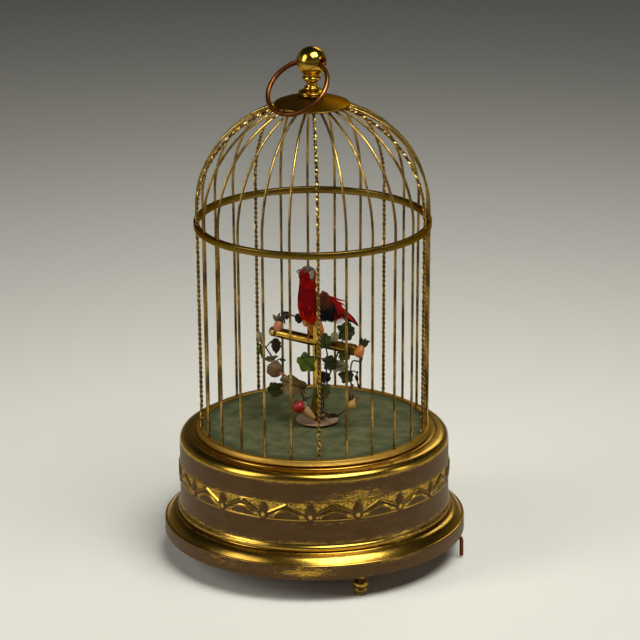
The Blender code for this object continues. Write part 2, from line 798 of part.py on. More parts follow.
def make_perch_post():
    base_top = post_base + PERCH_BASE_THICKNESS
    outline = [
        (0.0, post_base),
        (PERCH_BASE_RADIUS, post_base),
        (PERCH_BASE_RADIUS, base_top - 0.4 * MM),
        (PERCH_BASE_RADIUS - 0.8 * MM, base_top),
        (1.25 * POST_RADIUS, base_top),
        (POST_RADIUS, base_top + 1.5 * MM),
        (POST_RADIUS, post_top),
        (0.0, post_top),
    ]
    post = put("perch_post", turned(outline, SMALL_STEPS), gold, (PERCH_X, 0.0, 0.0))
    reach = POST_RADIUS + 2.0 * MM
    ends = (along_perch(-reach), along_perch(reach))
    saddle = tube(ends, [PERCH_RADIUS + GAP] * 2, ROUND_SIDES)
    low = perch_z - PERCH_RADIUS - 2.0 * MM
    high = perch_z + PERCH_RADIUS + 2.0 * MM
    spigot = upright(PERCH_X, 0.0, POST_SPIGOT_RADIUS, low, high)
    bore = upright(PERCH_X, 0.0, post_bore, post_base - GAP, post_top + GAP, 8)
    shape(post, "DIFFERENCE", saddle)
    shape(post, "UNION", spigot)
    return shape(post, "DIFFERENCE", bore)


def make_perch_bar():
    left = -PERCH_LEFT_LENGTH
    right = PERCH_RIGHT_LENGTH
    collar_end = right - PERCH_COLLAR_INSET
    collar_start = collar_end - PERCH_COLLAR_LENGTH
    stations = [
        (left, 0.45), (left + 0.7 * MM, 0.85), (left + 2.2 * MM, 1.0),
        (collar_start, 1.0), (collar_start + PERCH_COLLAR_STEP, 1.15),
        (collar_end - PERCH_COLLAR_STEP, 1.15), (collar_end, 0.85), (right, 0.85),
    ]
    points = [along_perch(distance) for distance, _ in stations]
    radii = [PERCH_RADIUS * share for _, share in stations]
    bar = put("perch_bar", tube(points, radii, ROUND_SIDES), gold)
    low = perch_z - 2.0 * PERCH_RADIUS
    high = perch_z + 2.0 * PERCH_RADIUS
    hole = upright(PERCH_X, 0.0, POST_SPIGOT_RADIUS + GAP, low, high)
    return shape(bar, "DIFFERENCE", hole)


def make_push_rod():
    foot = plate_top + ROD_FOOT_LIFT
    top = post_top - ROD_TRAVEL - GAP
    outline = [
        (0.0, foot), (ROD_FOOT_RADIUS, foot), (ROD_FOOT_RADIUS, foot + ROD_FOOT_THICKNESS),
        (ROD_RADIUS, foot + ROD_FOOT_THICKNESS), (ROD_RADIUS, top), (0.0, top),
    ]
    return put("bird_push_rod", turned(outline, 8), steel, (PERCH_X, 0.0, 0.0))


# Bird

forward = Vector((math.cos(BIRD_HEADING), math.sin(BIRD_HEADING), 0.0))
leftward = Vector((-forward.y, forward.x, 0.0))
UP = Vector((0.0, 0.0, 1.0))

# Body stations: forward of the post, above the perch, half height, half width
BODY_STATIONS = (
    (6.2 * MM, 33.6 * MM, 4.50 * MM, 4.50 * MM),
    (6.5 * MM, 29.5 * MM, 4.80 * MM, 4.75 * MM),
    (6.6 * MM, 24.0 * MM, 5.30 * MM, 5.20 * MM),
    (5.0 * MM, 18.6 * MM, 5.90 * MM, 5.60 * MM),
    (1.0 * MM, 16.2 * MM, 4.90 * MM, 5.40 * MM),
    (-4.4 * MM, 17.0 * MM, 4.00 * MM, 4.40 * MM),
    (-9.0 * MM, 17.2 * MM, 2.80 * MM, 3.10 * MM),
    (-12.0 * MM, 16.8 * MM, 1.50 * MM, 1.80 * MM),
)
NECK_LEVEL = BODY_STATIONS[0][1]
TAIL_ROOT = (BODY_STATIONS[-1][0], BODY_STATIONS[-1][1])

# A wing's edge in millimetres: forward of the post, above the perch
WING_OUTLINE = (
    (3.0, 29.0), (5.6, 26.2), (5.8, 21.8), (3.2, 16.0), (-1.5, 12.2), (-7.5, 10.8),
    (-12.5, 10.6), (-16.0, 12.5), (-14.0, 16.5), (-10.0, 20.3), (-4.0, 25.0), (0.6, 28.4),
)


def bird_point(ahead, aside, height):
    return perch_middle + forward * ahead + leftward * aside + UP * height


def body_rings(growth):
    centres = [bird_point(ahead, 0.0, height) for ahead, height, _, _ in BODY_STATIONS]
    rings = []
    for index, (_, _, half_height, half_width) in enumerate(BODY_STATIONS):
        before = centres[max(index - 1, 0)]
        after = centres[min(index + 1, len(centres) - 1)]
        along = (after - before).normalized()
        if index == 0:
            along = -UP
        thick = leftward.cross(along).normalized()
        rings.append(round_ring(centres[index], leftward * (half_width + growth),
                                thick * (half_height + growth), ROUND_SIDES))
    return rings


def make_body():
    body = put("bird_body", loft(body_rings(0.0)), feather_red)
    limbs = []
    for side in (-1.0, 1.0):
        hip = bird_point(HIP_FORWARD, side * 0.8 * LEG_SPREAD, HIP_HEIGHT)
        ankle_height = PERCH_RADIUS + GAP + TOE_RADIUS
        foot = along_perch(side * LEG_SPREAD)
        ankle = foot + UP * ankle_height
        limbs.append(tube((hip, (hip + ankle) / 2.0, ankle - UP * 0.1 * MM),
                          [1.9 * LEG_RADIUS, LEG_RADIUS, LEG_RADIUS], 8))
        across = perch_line.cross(UP)
        reach = PERCH_RADIUS + GAP + TOE_RADIUS
        claws = []
        for step in range(-4, 5):
            turn = step * 19.0 * DEG
            claws.append(foot + (UP * math.cos(turn) + across * math.sin(turn)) * reach)
        limbs.append(tube(claws, [TOE_RADIUS * (1.0 - 0.06 * abs(s)) for s in range(-4, 5)], 6))
    return shape(body, "UNION", *limbs)


head_heading = BIRD_HEADING + HEAD_TURN
head_forward = Vector((math.cos(head_heading), math.sin(head_heading), 0.0))
head_left = Vector((-head_forward.y, head_forward.x, 0.0))
neck = bird_point(BODY_STATIONS[0][0], 0.0, NECK_LEVEL)
head_centre = neck + UP * HEAD_ABOVE_NECK


def face_reach(height):
    """How far ahead of its middle the head reaches at a height above that middle."""
    return math.sqrt(HEAD_RADIUS ** 2 - height ** 2)


def face_point(ahead, height):
    return head_centre + head_forward * ahead + UP * height


def make_head():
    """A round head, flat under the neck, with the upper half of the beak."""
    neck_radius = BODY_STATIONS[0][2]
    outline = [(0.0, GAP), (0.94 * neck_radius, GAP), (neck_radius, GAP + 0.8 * MM)]
    for share in (0.0, 0.35, 0.65, 0.88):
        level = HEAD_ABOVE_NECK + share * HEAD_RADIUS
        outline.append((HEAD_RADIUS * math.sqrt(1.0 - share * share), level))
    outline.append((0.0, HEAD_ABOVE_NECK + HEAD_RADIUS))
    head = put("bird_head", turned(outline, 16), cap_grey, neck)
    root = face_reach(BEAK_HEIGHT)
    tip = face_point(BEAK_REACH, BEAK_HEIGHT - BEAK_DROOP)
    upper = tube((face_point(root - 2.0 * BEAK_RADIUS, BEAK_HEIGHT - 0.1 * MM),
                  face_point((root + BEAK_REACH) / 2.0, BEAK_HEIGHT), tip),
                 [BEAK_RADIUS, 0.9 * BEAK_RADIUS, 0.25 * BEAK_RADIUS], 6)
    return shape(head, "UNION", upper)


def make_lower_beak():
    """The lower half of the beak, hinged where it leaves the head."""
    root = face_reach(LOWER_BEAK_HEIGHT - LOWER_BEAK_RADIUS) + GAP
    pivot = face_point(root, LOWER_BEAK_HEIGHT)
    tip = face_point(BEAK_REACH, LOWER_BEAK_HEIGHT + LOWER_BEAK_RISE)
    bm = tube((Vector(), tip - pivot), [LOWER_BEAK_RADIUS, 0.3 * LOWER_BEAK_RADIUS], 6)
    return put("bird_lower_beak", bm, horn, pivot)


def make_tail():
    along = forward * -math.cos(TAIL_SLOPE) + UP * math.sin(TAIL_SLOPE)
    root = bird_point(TAIL_ROOT[0] - 0.7 * MM, 0.0, TAIL_ROOT[1])
    thick = leftward.cross(along).normalized()
    stations = ((0.0, 0.42, 0.8), (0.35, 0.62, 1.0), (0.8, 1.0, 0.7), (1.0, 0.7, 0.4))
    rings = []
    for share, width, height in stations:
        rings.append(round_ring(along * TAIL_LENGTH * share, leftward * TAIL_WIDTH / 2.0 * width,
                                thick * TAIL_THICKNESS / 2.0 * height, 8))
    return put("bird_tail", loft(rings), feather_red, root)


def make_wing(name, side):
    """A folded wing, shaped to lie against the body."""
    rows = []
    for outer in (False, True):
        row = []
        for ahead, height in WING_OUTLINE:
            aside = WING_OUTSET + WING_TAPER * min(ahead, 0.0) * MM
            if not outer:
                aside -= WING_THICKNESS
            row.append(bird_point(ahead * MM, side * aside, height * MM))
        rows.append(row)
    bm = bmesh.new()
    inner = [bm.verts.new(point) for point in rows[0]]
    outer = [bm.verts.new(point) for point in rows[1]]
    count = len(inner)
    for index in range(count):
        turn = (index + 1) % count
        bm.faces.new((inner[index], inner[turn], outer[turn], outer[index]))
    bm.faces.new(inner)
    ahead, height = WING_CROWN_PLACE
    peak = bm.verts.new(bird_point(ahead, side * (WING_OUTSET + WING_CROWN), height))
    for index in range(count):
        bm.faces.new((outer[index], outer[(index + 1) % count], peak))
    wing = put(name, face_outwards(bm), feather_black)
    return shape(wing, "DIFFERENCE", loft(body_rings(GAP)))


# Vine

# Wires: each a run of points in millimetres from the middle of the perch stand's base
VINE_WIRES = (
    ((4.2, -1.9, 2.2), (7.7, -8.5, 4.0), (14.5, -9.5, 8.0), (18.2, -10.0, 16.0),
     (17.6, -9.4, 27.0), (18.6, -12.0, 36.0), (23.0, -17.4, 38.0), (23.6, -17.9, 42.0)),
    ((2.9, 3.6, 2.2), (4.2, 4.6, 14.0), (7.4, 3.0, 26.0), (11.0, 1.5, 36.0),
     (13.5, -1.0, 44.0), (14.0, -3.0, 47.0)),
    ((-3.25, -3.25, 2.2), (-5.5, -4.5, 10.0), (-10.0, -2.0, 17.5), (-17.5, 4.5, 23.5),
     (-23.0, 9.5, 30.5), (-27.5, 14.0, 36.0), (-29.5, 18.0, 37.5)),
    ((-3.25, 3.25, 2.2), (-1.0, 6.0, 20.0), (-1.0, 7.0, 40.0), (-4.0, 8.0, 51.0),
     (-9.4, 8.0, 53.5), (-13.5, 15.0, 53.3), (-17.0, 22.5, 50.5), (-17.0, 22.5, 46.0)),
    ((0.6, -4.56, 2.2), (2.0, -8.0, 12.0), (4.0, -8.5, 24.0), (5.6, -10.5, 36.0),
     (4.8, -12.0, 44.0)),
)
VINE_WIRE_RADIUS = 0.5 * MM
VINE_RING_RADIUS = 4.6 * MM
VINE_RING_HEIGHT = 2.2 * MM
# Leaves: wire, point of the wire, middle (x, y, z), length, turn and tilt in degrees
LEAVES = (
    (1, 5, (15.6, -3.2, 51.0), 13.5, 10.0, 68.0),
    (4, 4, (4.3, -12.4, 47.5), 12.0, 0.0, 78.0),
    (0, 7, (24.6, -22.0, 48.6), 9.0, 12.0, 74.0),
    (0, 5, (15.3, -12.5, 34.9), 8.5, 12.0, 72.0),
    (0, 4, (13.2, -7.0, 30.5), 12.0, -12.0, 50.0),
    (4, 2, (6.6, -7.8, 32.7), 11.0, 6.0, 70.0),
    (0, 4, (15.2, -10.8, 25.0), 10.5, -8.0, 74.0),
    (1, 2, (3.9, 5.2, 21.3), 8.0, 20.0, 70.0),
    (4, 1, (3.3, -10.2, 17.8), 11.0, -8.0, 78.0),
    (4, 2, (-5.3, -9.0, 34.4), 13.0, 10.0, 62.0),
    (2, 3, (-22.1, 7.6, 25.8), 13.0, 0.0, 60.0),
    (2, 4, (-22.0, 11.6, 34.6), 10.5, 0.0, 78.0),
    (2, 5, (-29.8, 13.6, 31.6), 9.0, 30.0, 74.0),
    (2, 6, (-30.6, 19.4, 41.0), 9.0, 30.0, 66.0),
    (2, 2, (-20.6, 2.6, 14.4), 12.5, 0.0, 66.0),
    (2, 2, (-12.3, -2.6, 20.4), 15.0, 25.0, 52.0),
    (0, 3, (18.9, -11.2, 12.5), 10.0, 0.0, 80.0),
    (0, 1, (7.9, -10.6, 5.0), 8.0, 0.0, 30.0),
    (3, 4, (-10.8, 6.6, 55.6), 6.5, 0.0, 74.0),
    (3, 6, (-17.4, 23.6, 51.5), 9.0, 0.0, 74.0),
)
# Berries and buds: wire, point of the wire, middle (x, y, z) and radius
BERRIES = (
    (2, 1, (-9.7, -8.5, 9.9), 3.0),
    (2, 0, (-4.9, -8.0, 5.6), 3.0),
    (3, 7, (-20.3, 11.0, 48.1), 2.6),
    (3, 4, (-6.5, 3.9, 52.2), 2.2),
    (0, 3, (20.0, -10.5, 9.0), 2.0),
    (0, 7, (24.1, -18.1, 42.9), 2.8),
)
STAND_FOOT = Vector((PERCH_X, 0.0, post_base + PERCH_BASE_THICKNESS))


def vine_point(place):
    return STAND_FOOT + Vector(place) * MM


def leaf_mesh(length, turn, tilt, middle):
    """A lobed leaf, a little thicker in its middle, stood up and turned."""
    half = length / 2.0
    outline = ((0.0, -1.0), (0.9, -0.35), (0.75, 0.5), (0.0, 1.0), (-0.75, 0.5), (-0.9, -0.35))
    bm = prism([(x * half, y * half) for x, y in outline], -0.3 * MM, 0.3 * MM)
    stand = Matrix.Rotation(tilt * DEG, 3, "X")
    swing = Matrix.Rotation(turn * DEG, 3, "Z")
    bmesh.ops.rotate(bm, verts=bm.verts, cent=(0, 0, 0), matrix=swing @ stand)
    bmesh.ops.translate(bm, verts=bm.verts, vec=middle)
    return bm


def stalk(start, end):
    return tube((start, end), [0.8 * VINE_WIRE_RADIUS] * 2, STALK_SIDES)


def vine_collar():
    """The wire ring round the foot of the post that the vine's wires are wound to."""
    half = 1.3 * VINE_WIRE_RADIUS
    outline = [(VINE_RING_RADIUS - half, -half), (VINE_RING_RADIUS + half, -half),
               (VINE_RING_RADIUS + half, half), (VINE_RING_RADIUS - half, half)]
    collar = turned(outline, ROUND_SIDES, ring=True)
    bmesh.ops.translate(collar, verts=collar.verts, vec=STAND_FOOT + UP * VINE_RING_HEIGHT)
    return collar


def make_vine():
    pieces = []
    for wire in VINE_WIRES:
        points = [vine_point(place) for place in wire]
        pieces.append(tube(points, [VINE_WIRE_RADIUS] * len(points), VINE_SIDES))
    for wire, index, place, length, turn, tilt in LEAVES:
        middle = vine_point(place)
        pieces.append(stalk(vine_point(VINE_WIRES[wire][index]), middle))
        pieces.append(leaf_mesh(length * MM, turn, tilt, middle))
    for wire, index, place, radius in BERRIES:
        middle = vine_point(place)
        pieces.append(stalk(vine_point(VINE_WIRES[wire][index]), middle))
        pieces.append(sphere(middle, radius * MM, 6, 4))
    vine = put("vine_foliage", vine_collar(), leaf_green)
    return shape(vine, "UNION", *pieces)


# Movement

pinion_radius = SECOND_PINION_TEETH * MODULE / 2.0
cam_at = Vector((CAM_X, CAM_Y, 0.0))
second_to_cam = pinion_radius + CAM_WHEEL_TEETH * MODULE / 2.0
second_to_barrel = pinion_radius + GREAT_WHEEL_TEETH * MODULE / 2.0
second_to_fly = (SECOND_WHEEL_TEETH + FLY_PINION_TEETH) * FAST_MODULE / 2.0


def reach(start, angle, distance):
    return start + Vector((math.cos(angle), math.sin(angle), 0.0)) * distance


second_at = reach(cam_at, CAM_MESH_ANGLE, -second_to_cam)
barrel_at = reach(second_at, BARREL_MESH_ANGLE, second_to_barrel)
fly_at = reach(second_at, FLY_MESH_ANGLE, second_to_fly)
great_wheel_base = train_base
cam_gear_base = great_wheel_base + WHEEL_THICKNESS + 1.5 * MM
barrel_top = great_wheel_base + WHEEL_THICKNESS + BARREL_HEIGHT
cam_stack_base = cam_gear_base + WHEEL_THICKNESS
second_wheel_base = barrel_top + 1.2 * MM
arbor_foot = base_plate_top + GAP
crank_base = plate_top + 1.0 * MM


def mesh_turn(teeth, towards):
    """Turn a wheel so that the middle of a space faces along an angle."""
    pitch = FULL_TURN / teeth
    return towards - pitch / 2.0


pinion_turn = BARREL_MESH_ANGLE


def cam_wheel_turn():
    """The cam wheel's turn that puts a space where the pinion has a tooth."""
    pinion_pitch = FULL_TURN / SECOND_PINION_TEETH
    phase = (CAM_MESH_ANGLE - pinion_turn) % pinion_pitch
    towards = CAM_MESH_ANGLE + math.pi
    follow = phase * SECOND_PINION_TEETH / CAM_WHEEL_TEETH
    return mesh_turn(CAM_WHEEL_TEETH, towards) + follow


def centred(bm, x, y):
    bmesh.ops.translate(bm, verts=bm.verts, vec=(x, y, 0))
    return bm


def make_movement_plate():
    plate = put("movement_plate", disc(PLATE_RADIUS, plate_base, plate_top, 40), movement_brass)
    pillars = []
    for angle in PILLAR_ANGLES:
        place = reach(Vector((0, 0, 0)), angle, pillar_circle)
        pillars.append(upright(place.x, place.y, PILLAR_RADIUS, base_plate_top + GAP,
                               plate_base + PLATE_THICKNESS / 2.0, 8))
    low = plate_base - GAP
    high = plate_top + GAP
    holes = [upright(at.x, at.y, ARBOR_RADIUS + GAP, low, high, 8)
             for at in (second_at, cam_at, fly_at)]
    holes.append(upright(barrel_at.x, barrel_at.y, KEY_ARBOR_RADIUS + GAP, low, high, 8))
    shape(plate, "UNION", joined(pillars))
    return shape(plate, "DIFFERENCE", joined(holes))


def make_barrel():
    turn = mesh_turn(GREAT_WHEEL_TEETH, BARREL_MESH_ANGLE + math.pi)
    great = wheel(GREAT_WHEEL_TEETH, MODULE, great_wheel_base,
                  great_wheel_base + WHEEL_THICKNESS, turn)
    item = put("mainspring_barrel", great, movement_brass, barrel_at)
    case = disc(BARREL_RADIUS, great_wheel_base + WHEEL_THICKNESS / 2.0, barrel_top, 28)
    shape(item, "UNION", centred(case, barrel_at.x, barrel_at.y))
    bore = upright(barrel_at.x, barrel_at.y, KEY_ARBOR_RADIUS + GAP,
                   great_wheel_base - GAP, barrel_top + GAP)
    return shape(item, "DIFFERENCE", bore)


def make_second_wheel():
    low = great_wheel_base - 0.5 * MM
    pinion = wheel(SECOND_PINION_TEETH, MODULE, low, cam_stack_base + 0.5 * MM, pinion_turn)
    item = put("second_wheel", pinion, movement_brass, second_at)
    disc_teeth = wheel(SECOND_WHEEL_TEETH, FAST_MODULE, second_wheel_base,
                       second_wheel_base + WHEEL_THICKNESS, FLY_MESH_ANGLE)
    arbor = disc(ARBOR_RADIUS, arbor_foot, crank_base + CRANK_THICKNESS / 2.0, 8)
    crank = disc(CRANK_RADIUS, crank_base, crank_base + CRANK_THICKNESS, ROUND_SIDES)
    pin = upright(0.75 * CRANK_RADIUS, 0.0, CRANK_PIN_RADIUS, crank_base + CRANK_THICKNESS / 2.0,
                  crank_base + CRANK_THICKNESS + CRANK_PIN_LENGTH, 8)
    tools = [centred(bm, second_at.x, second_at.y) for bm in (arbor, disc_teeth, crank, pin)]
    return shape(item, "UNION", *tools)


def cam_outline(number):
    """A round cam with a few flats and rises, unlike its neighbours."""
    points = []
    steps = 18
    for step in range(steps):
        turn = FULL_TURN * step / steps
        rise = 0.12 * math.sin((number + 2) * turn + number)
        points.append((CAM_RADIUS * (0.88 + rise) * math.cos(turn),
                       CAM_RADIUS * (0.88 + rise) * math.sin(turn)))
    return points


def make_cam_wheel():
    teeth = wheel(CAM_WHEEL_TEETH, MODULE, cam_gear_base, cam_gear_base + WHEEL_THICKNESS,
                  cam_wheel_turn())
    item = put("cam_wheel", teeth, movement_brass, cam_at)
    arbor = disc(ARBOR_RADIUS, arbor_foot, plate_base + PLATE_THICKNESS / 2.0, 8)
    tools = [arbor]
    for number in range(CAM_COUNT):
        low = cam_stack_base + 1.0 * MM + number * 2.0 * CAM_THICKNESS
        tools.append(prism(cam_outline(number), low, low + CAM_THICKNESS))
    for bm in tools:
        centred(bm, cam_at.x, cam_at.y)
    return shape(item, "UNION", *tools)


def make_fly():
    """The air fly that keeps the speed even, driven by the fast wheel."""
    pinion_low = second_wheel_base - 0.4 * MM
    pitch = FULL_TURN / FLY_PINION_TEETH
    turn = FLY_MESH_ANGLE + math.pi - pitch / 2.0
    pinion = wheel(FLY_PINION_TEETH, FAST_MODULE, pinion_low,
                   pinion_low + WHEEL_THICKNESS + 0.8 * MM, turn)
    item = put("fly_governor", pinion, steel, fly_at)
    arbor = disc(0.7 * ARBOR_RADIUS, arbor_foot, plate_base + PLATE_THICKNESS / 2.0, 8)
    high = pinion_low - 1.0 * MM
    blade = block((-FLY_RADIUS, -FLY_BLADE / 2.0, high - FLY_HEIGHT),
                  (FLY_RADIUS, FLY_BLADE / 2.0, high))
    tools = [centred(bm, fly_at.x, fly_at.y) for bm in (arbor, blade)]
    return shape(item, "UNION", *tools)


# Winding key and start lever

def make_key():
    """A wing key under the base, on the barrel's arbor."""
    hub_top = plinth_base - GAP
    top = plate_base + PLATE_THICKNESS / 2.0
    outline = [
        (0.0, KEY_TABLE_CLEARANCE), (0.7 * KEY_HUB_RADIUS, KEY_TABLE_CLEARANCE),
        (KEY_HUB_RADIUS, KEY_TABLE_CLEARANCE + 0.8 * MM), (KEY_HUB_RADIUS, hub_top - 1.0 * MM),
        (KEY_ARBOR_RADIUS, hub_top), (KEY_ARBOR_RADIUS, top), (0.0, top),
    ]
    item = put("winding_key", turned(outline, ROUND_SIDES), patina, barrel_at)
    half = KEY_WING_SPAN / 2.0
    low = KEY_TABLE_CLEARANCE + 0.8 * MM
    high = low + KEY_WING_HEIGHT
    soft = 0.3 * KEY_WING_HEIGHT
    outline = [(-half, low + soft), (-half + soft, low), (half - soft, low), (half, low + soft),
               (half, high - soft), (half - soft, high), (0.35 * half, high - 0.5 * soft),
               (-0.35 * half, high - 0.5 * soft), (-half + soft, high), (-half, high - soft)]
    wings = prism(outline, -KEY_WING_THICKNESS / 2.0, KEY_WING_THICKNESS / 2.0)
    bmesh.ops.rotate(wings, verts=wings.verts, cent=(0, 0, 0),
                     matrix=Matrix.Rotation(90.0 * DEG, 3, "X"))
    return shape(item, "UNION", centred(wings, barrel_at.x, barrel_at.y))


def make_lever():
    """A wire lever on a pivot under the base, its outer end bent down for the finger."""
    pivot = lever_pivot()
    level = plinth_base - GAP - LEVER_WIRE_RADIUS - 0.3 * MM
    tip = cage_point(LEVER_ANGLE, plinth_radius - LEVER_TIP_INSET, level)
    outwards = (tip - pivot - UP * level).normalized()
    centre = pivot + UP * level
    bend = LEVER_BEND
    points = [centre, tip - outwards * bend, tip - outwards * 0.3 * bend - UP * 0.3 * bend,
              tip - UP * bend, tip - UP * LEVER_DROP]
    radii = [LEVER_WIRE_RADIUS] * len(points)
    bm = tube([point - pivot for point in points], radii, 8)
    item = put("start_lever", bm, copper_wire, pivot)
    boss = upright(pivot.x, pivot.y, LEVER_BOSS_RADIUS, level - LEVER_WIRE_RADIUS - GAP,
                   level + LEVER_WIRE_RADIUS + LEVER_BOSS_STAND)
    pin = upright(pivot.x, pivot.y, LEVER_WIRE_RADIUS, level, base_plate_top + 1.0 * MM, 8)
    return shape(item, "UNION", boss, pin)


# Bellows and whistle

board_base = plate_top + BELLOWS_STAND
board_top = board_base + BOARD_THICKNESS
lid_base = board_top + BELLOWS_HEIGHT
bellows_low = (-BELLOWS_LENGTH / 2.0, BELLOWS_Y - BELLOWS_WIDTH / 2.0)
bellows_high = (BELLOWS_LENGTH / 2.0, BELLOWS_Y + BELLOWS_WIDTH / 2.0)


def make_bellows():
    board = put("bellows_base_board",
                block((*bellows_low, board_base), (*bellows_high, board_top)), wood)
    posts = []
    for x in (0.8 * bellows_low[0], 0.8 * bellows_high[0]):
        posts.append(upright(x, BELLOWS_Y, BELLOWS_POST_RADIUS, plate_top + GAP,
                             board_base + 0.5 * BOARD_THICKNESS, 8))
    shape(board, "UNION", joined(posts))
    hinge_y = bellows_high[1]
    lid = block((bellows_low[0], bellows_low[1] - hinge_y, 0.0),
                (bellows_high[0], 0.0, LID_THICKNESS))
    put("bellows_lid", lid, wood, (0.0, hinge_y, lid_base))
    rings = []
    for step in range(BELLOWS_FOLDS):
        tuck = BELLOWS_FOLD if step % 2 == 1 else 0.0
        share = step / (BELLOWS_FOLDS - 1)
        height = board_top + GAP + (BELLOWS_HEIGHT - 2.0 * GAP) * share
        inset = BELLOWS_INSET + tuck
        left = bellows_low[0] + inset
        right = bellows_high[0] - inset
        front = bellows_low[1] + inset
        back = bellows_high[1] - inset
        rings.append([Vector((left, front, height)), Vector((right, front, height)),
                      Vector((right, back, height)), Vector((left, back, height))])
    put("bellows_leather", loft(rings), kid_leather)


whistle_z = plate_top + PIPE_STAND + PIPE_RADIUS


def lie_along_x(bm, x, y, z):
    bmesh.ops.rotate(bm, verts=bm.verts, cent=(0, 0, 0), matrix=Matrix.Rotation(90.0 * DEG, 3, "Y"))
    bmesh.ops.translate(bm, verts=bm.verts, vec=(x, y, z))
    return bm


def make_whistle():
    half = PIPE_LENGTH / 2.0
    bore = PIPE_RADIUS - PIPE_WALL
    plug = PIPE_PLUG
    outline = [(0.0, -half), (PIPE_RADIUS, -half), (PIPE_RADIUS, half), (bore, half),
               (bore, -half + plug), (0.0, -half + plug)]
    pipe = put("whistle_pipe", lie_along_x(turned(outline, 16), PIPE_X, PIPE_Y, whistle_z),
               movement_brass)
    mouth_side = MOUTH_WIDTH / 2.0
    mouth = block((PIPE_X - half + 1.4 * plug, PIPE_Y - mouth_side, whistle_z),
                  (PIPE_X - half + 2.2 * plug, PIPE_Y + mouth_side,
                   whistle_z + 2.0 * PIPE_RADIUS))
    side = PIPE_FOOT_WIDTH / 2.0
    feet = [block((PIPE_X + x - side, PIPE_Y - side, plate_top + GAP),
                  (PIPE_X + x + side, PIPE_Y + side, whistle_z - PIPE_RADIUS + 0.4 * PIPE_WALL))
            for x in (-0.6 * half, 0.6 * half)]
    shape(pipe, "UNION", joined(feet))
    shape(pipe, "DIFFERENCE", mouth)
    head = bore - GAP
    start = half - PISTON_TRAVEL - PISTON_HEAD_LENGTH
    end = half + PISTON_ROD_STAND
    outline = [(0.0, start), (head, start), (head, start + PISTON_HEAD_LENGTH),
               (PISTON_ROD_RADIUS, start + PISTON_HEAD_LENGTH), (PISTON_ROD_RADIUS, end),
               (0.0, end)]
    put("whistle_piston", lie_along_x(turned(outline, ROUND_SIDES), 0.0, 0.0, 0.0), steel,
        (PIPE_X, PIPE_Y, whistle_z))


def main():
    for item in list(bpy.data.objects):
        bpy.data.objects.remove(item, do_unlink=True)
    for number in range(FOOT_COUNT):
        make_foot(number)
    make_plinth()
    make_base_plate()
    make_drum()
    make_cage_floor()
    make_felt()
    make_bars()
    make_band()
    make_cap()
    make_finial()
    make_ring()
    make_perch_post()
    make_perch_bar()
    make_push_rod()
    make_body()
    make_head()
    make_lower_beak()
    make_tail()
    make_wing("bird_wing_left", 1.0)
    make_wing("bird_wing_right", -1.0)
    make_vine()
    make_movement_plate()
    make_barrel()
    make_second_wheel()
    make_cam_wheel()
    make_fly()
    make_key()
    make_lever()
    make_bellows()
    make_whistle()


main()
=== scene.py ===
import json
import math
import random

import bmesh
import bpy
import numpy as np
from mathutils import Matrix, Vector


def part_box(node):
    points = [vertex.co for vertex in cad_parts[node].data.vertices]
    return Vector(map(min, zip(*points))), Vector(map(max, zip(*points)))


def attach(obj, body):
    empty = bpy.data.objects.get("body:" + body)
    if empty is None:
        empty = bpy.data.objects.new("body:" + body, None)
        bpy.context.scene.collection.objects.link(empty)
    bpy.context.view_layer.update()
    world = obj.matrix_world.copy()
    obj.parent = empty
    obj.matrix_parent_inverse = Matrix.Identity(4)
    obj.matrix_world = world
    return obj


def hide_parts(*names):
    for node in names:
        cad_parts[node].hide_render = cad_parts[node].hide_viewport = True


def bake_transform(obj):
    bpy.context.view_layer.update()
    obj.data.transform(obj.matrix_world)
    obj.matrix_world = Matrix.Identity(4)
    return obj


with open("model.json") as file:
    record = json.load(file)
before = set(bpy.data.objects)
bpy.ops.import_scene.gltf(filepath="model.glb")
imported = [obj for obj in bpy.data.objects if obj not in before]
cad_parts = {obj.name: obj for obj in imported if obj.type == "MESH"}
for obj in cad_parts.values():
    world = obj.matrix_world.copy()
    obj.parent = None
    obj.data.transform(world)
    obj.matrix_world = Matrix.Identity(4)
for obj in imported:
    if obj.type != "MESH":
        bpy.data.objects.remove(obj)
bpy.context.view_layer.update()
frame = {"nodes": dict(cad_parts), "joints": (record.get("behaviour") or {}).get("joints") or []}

mm = 0.001
degree = math.radians(1)
fullTurn = 2 * math.pi
up = Vector((0, 0, 1))


def nodeBox(node):
    low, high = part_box(node)
    return Vector(low), Vector(high)


def nodeMiddle(node):
    low, high = nodeBox(node)
    return (low + high) / 2


def nodeLevels(node):  # its lowest and highest point in millimetres
    low, high = nodeBox(node)
    return low.z / mm, high.z / mm


def findJoint(name):
    return next(joint for joint in frame["joints"] if joint["name"] == name)


def linear(red, green, blue):  # an 8-bit colour as the shader wants it
    channels = []
    for value in (red, green, blue):
        share = value / 255
        channels.append(share / 12.92 if share < 0.04045 else ((share + 0.055) / 1.055) ** 2.4)
    return (*channels, 1)


# Camera, lamps and floor

photoView = {
    "focalPixels": 3841.3,
    "imagePixels": 640,
    "sensor": 36,
    "place": (0, -1.925, 0.7558),
    "pitch": 18.04,
    "yaw": 0.105,
    "roll": -0.3486,
    "farEnd": 20,
}


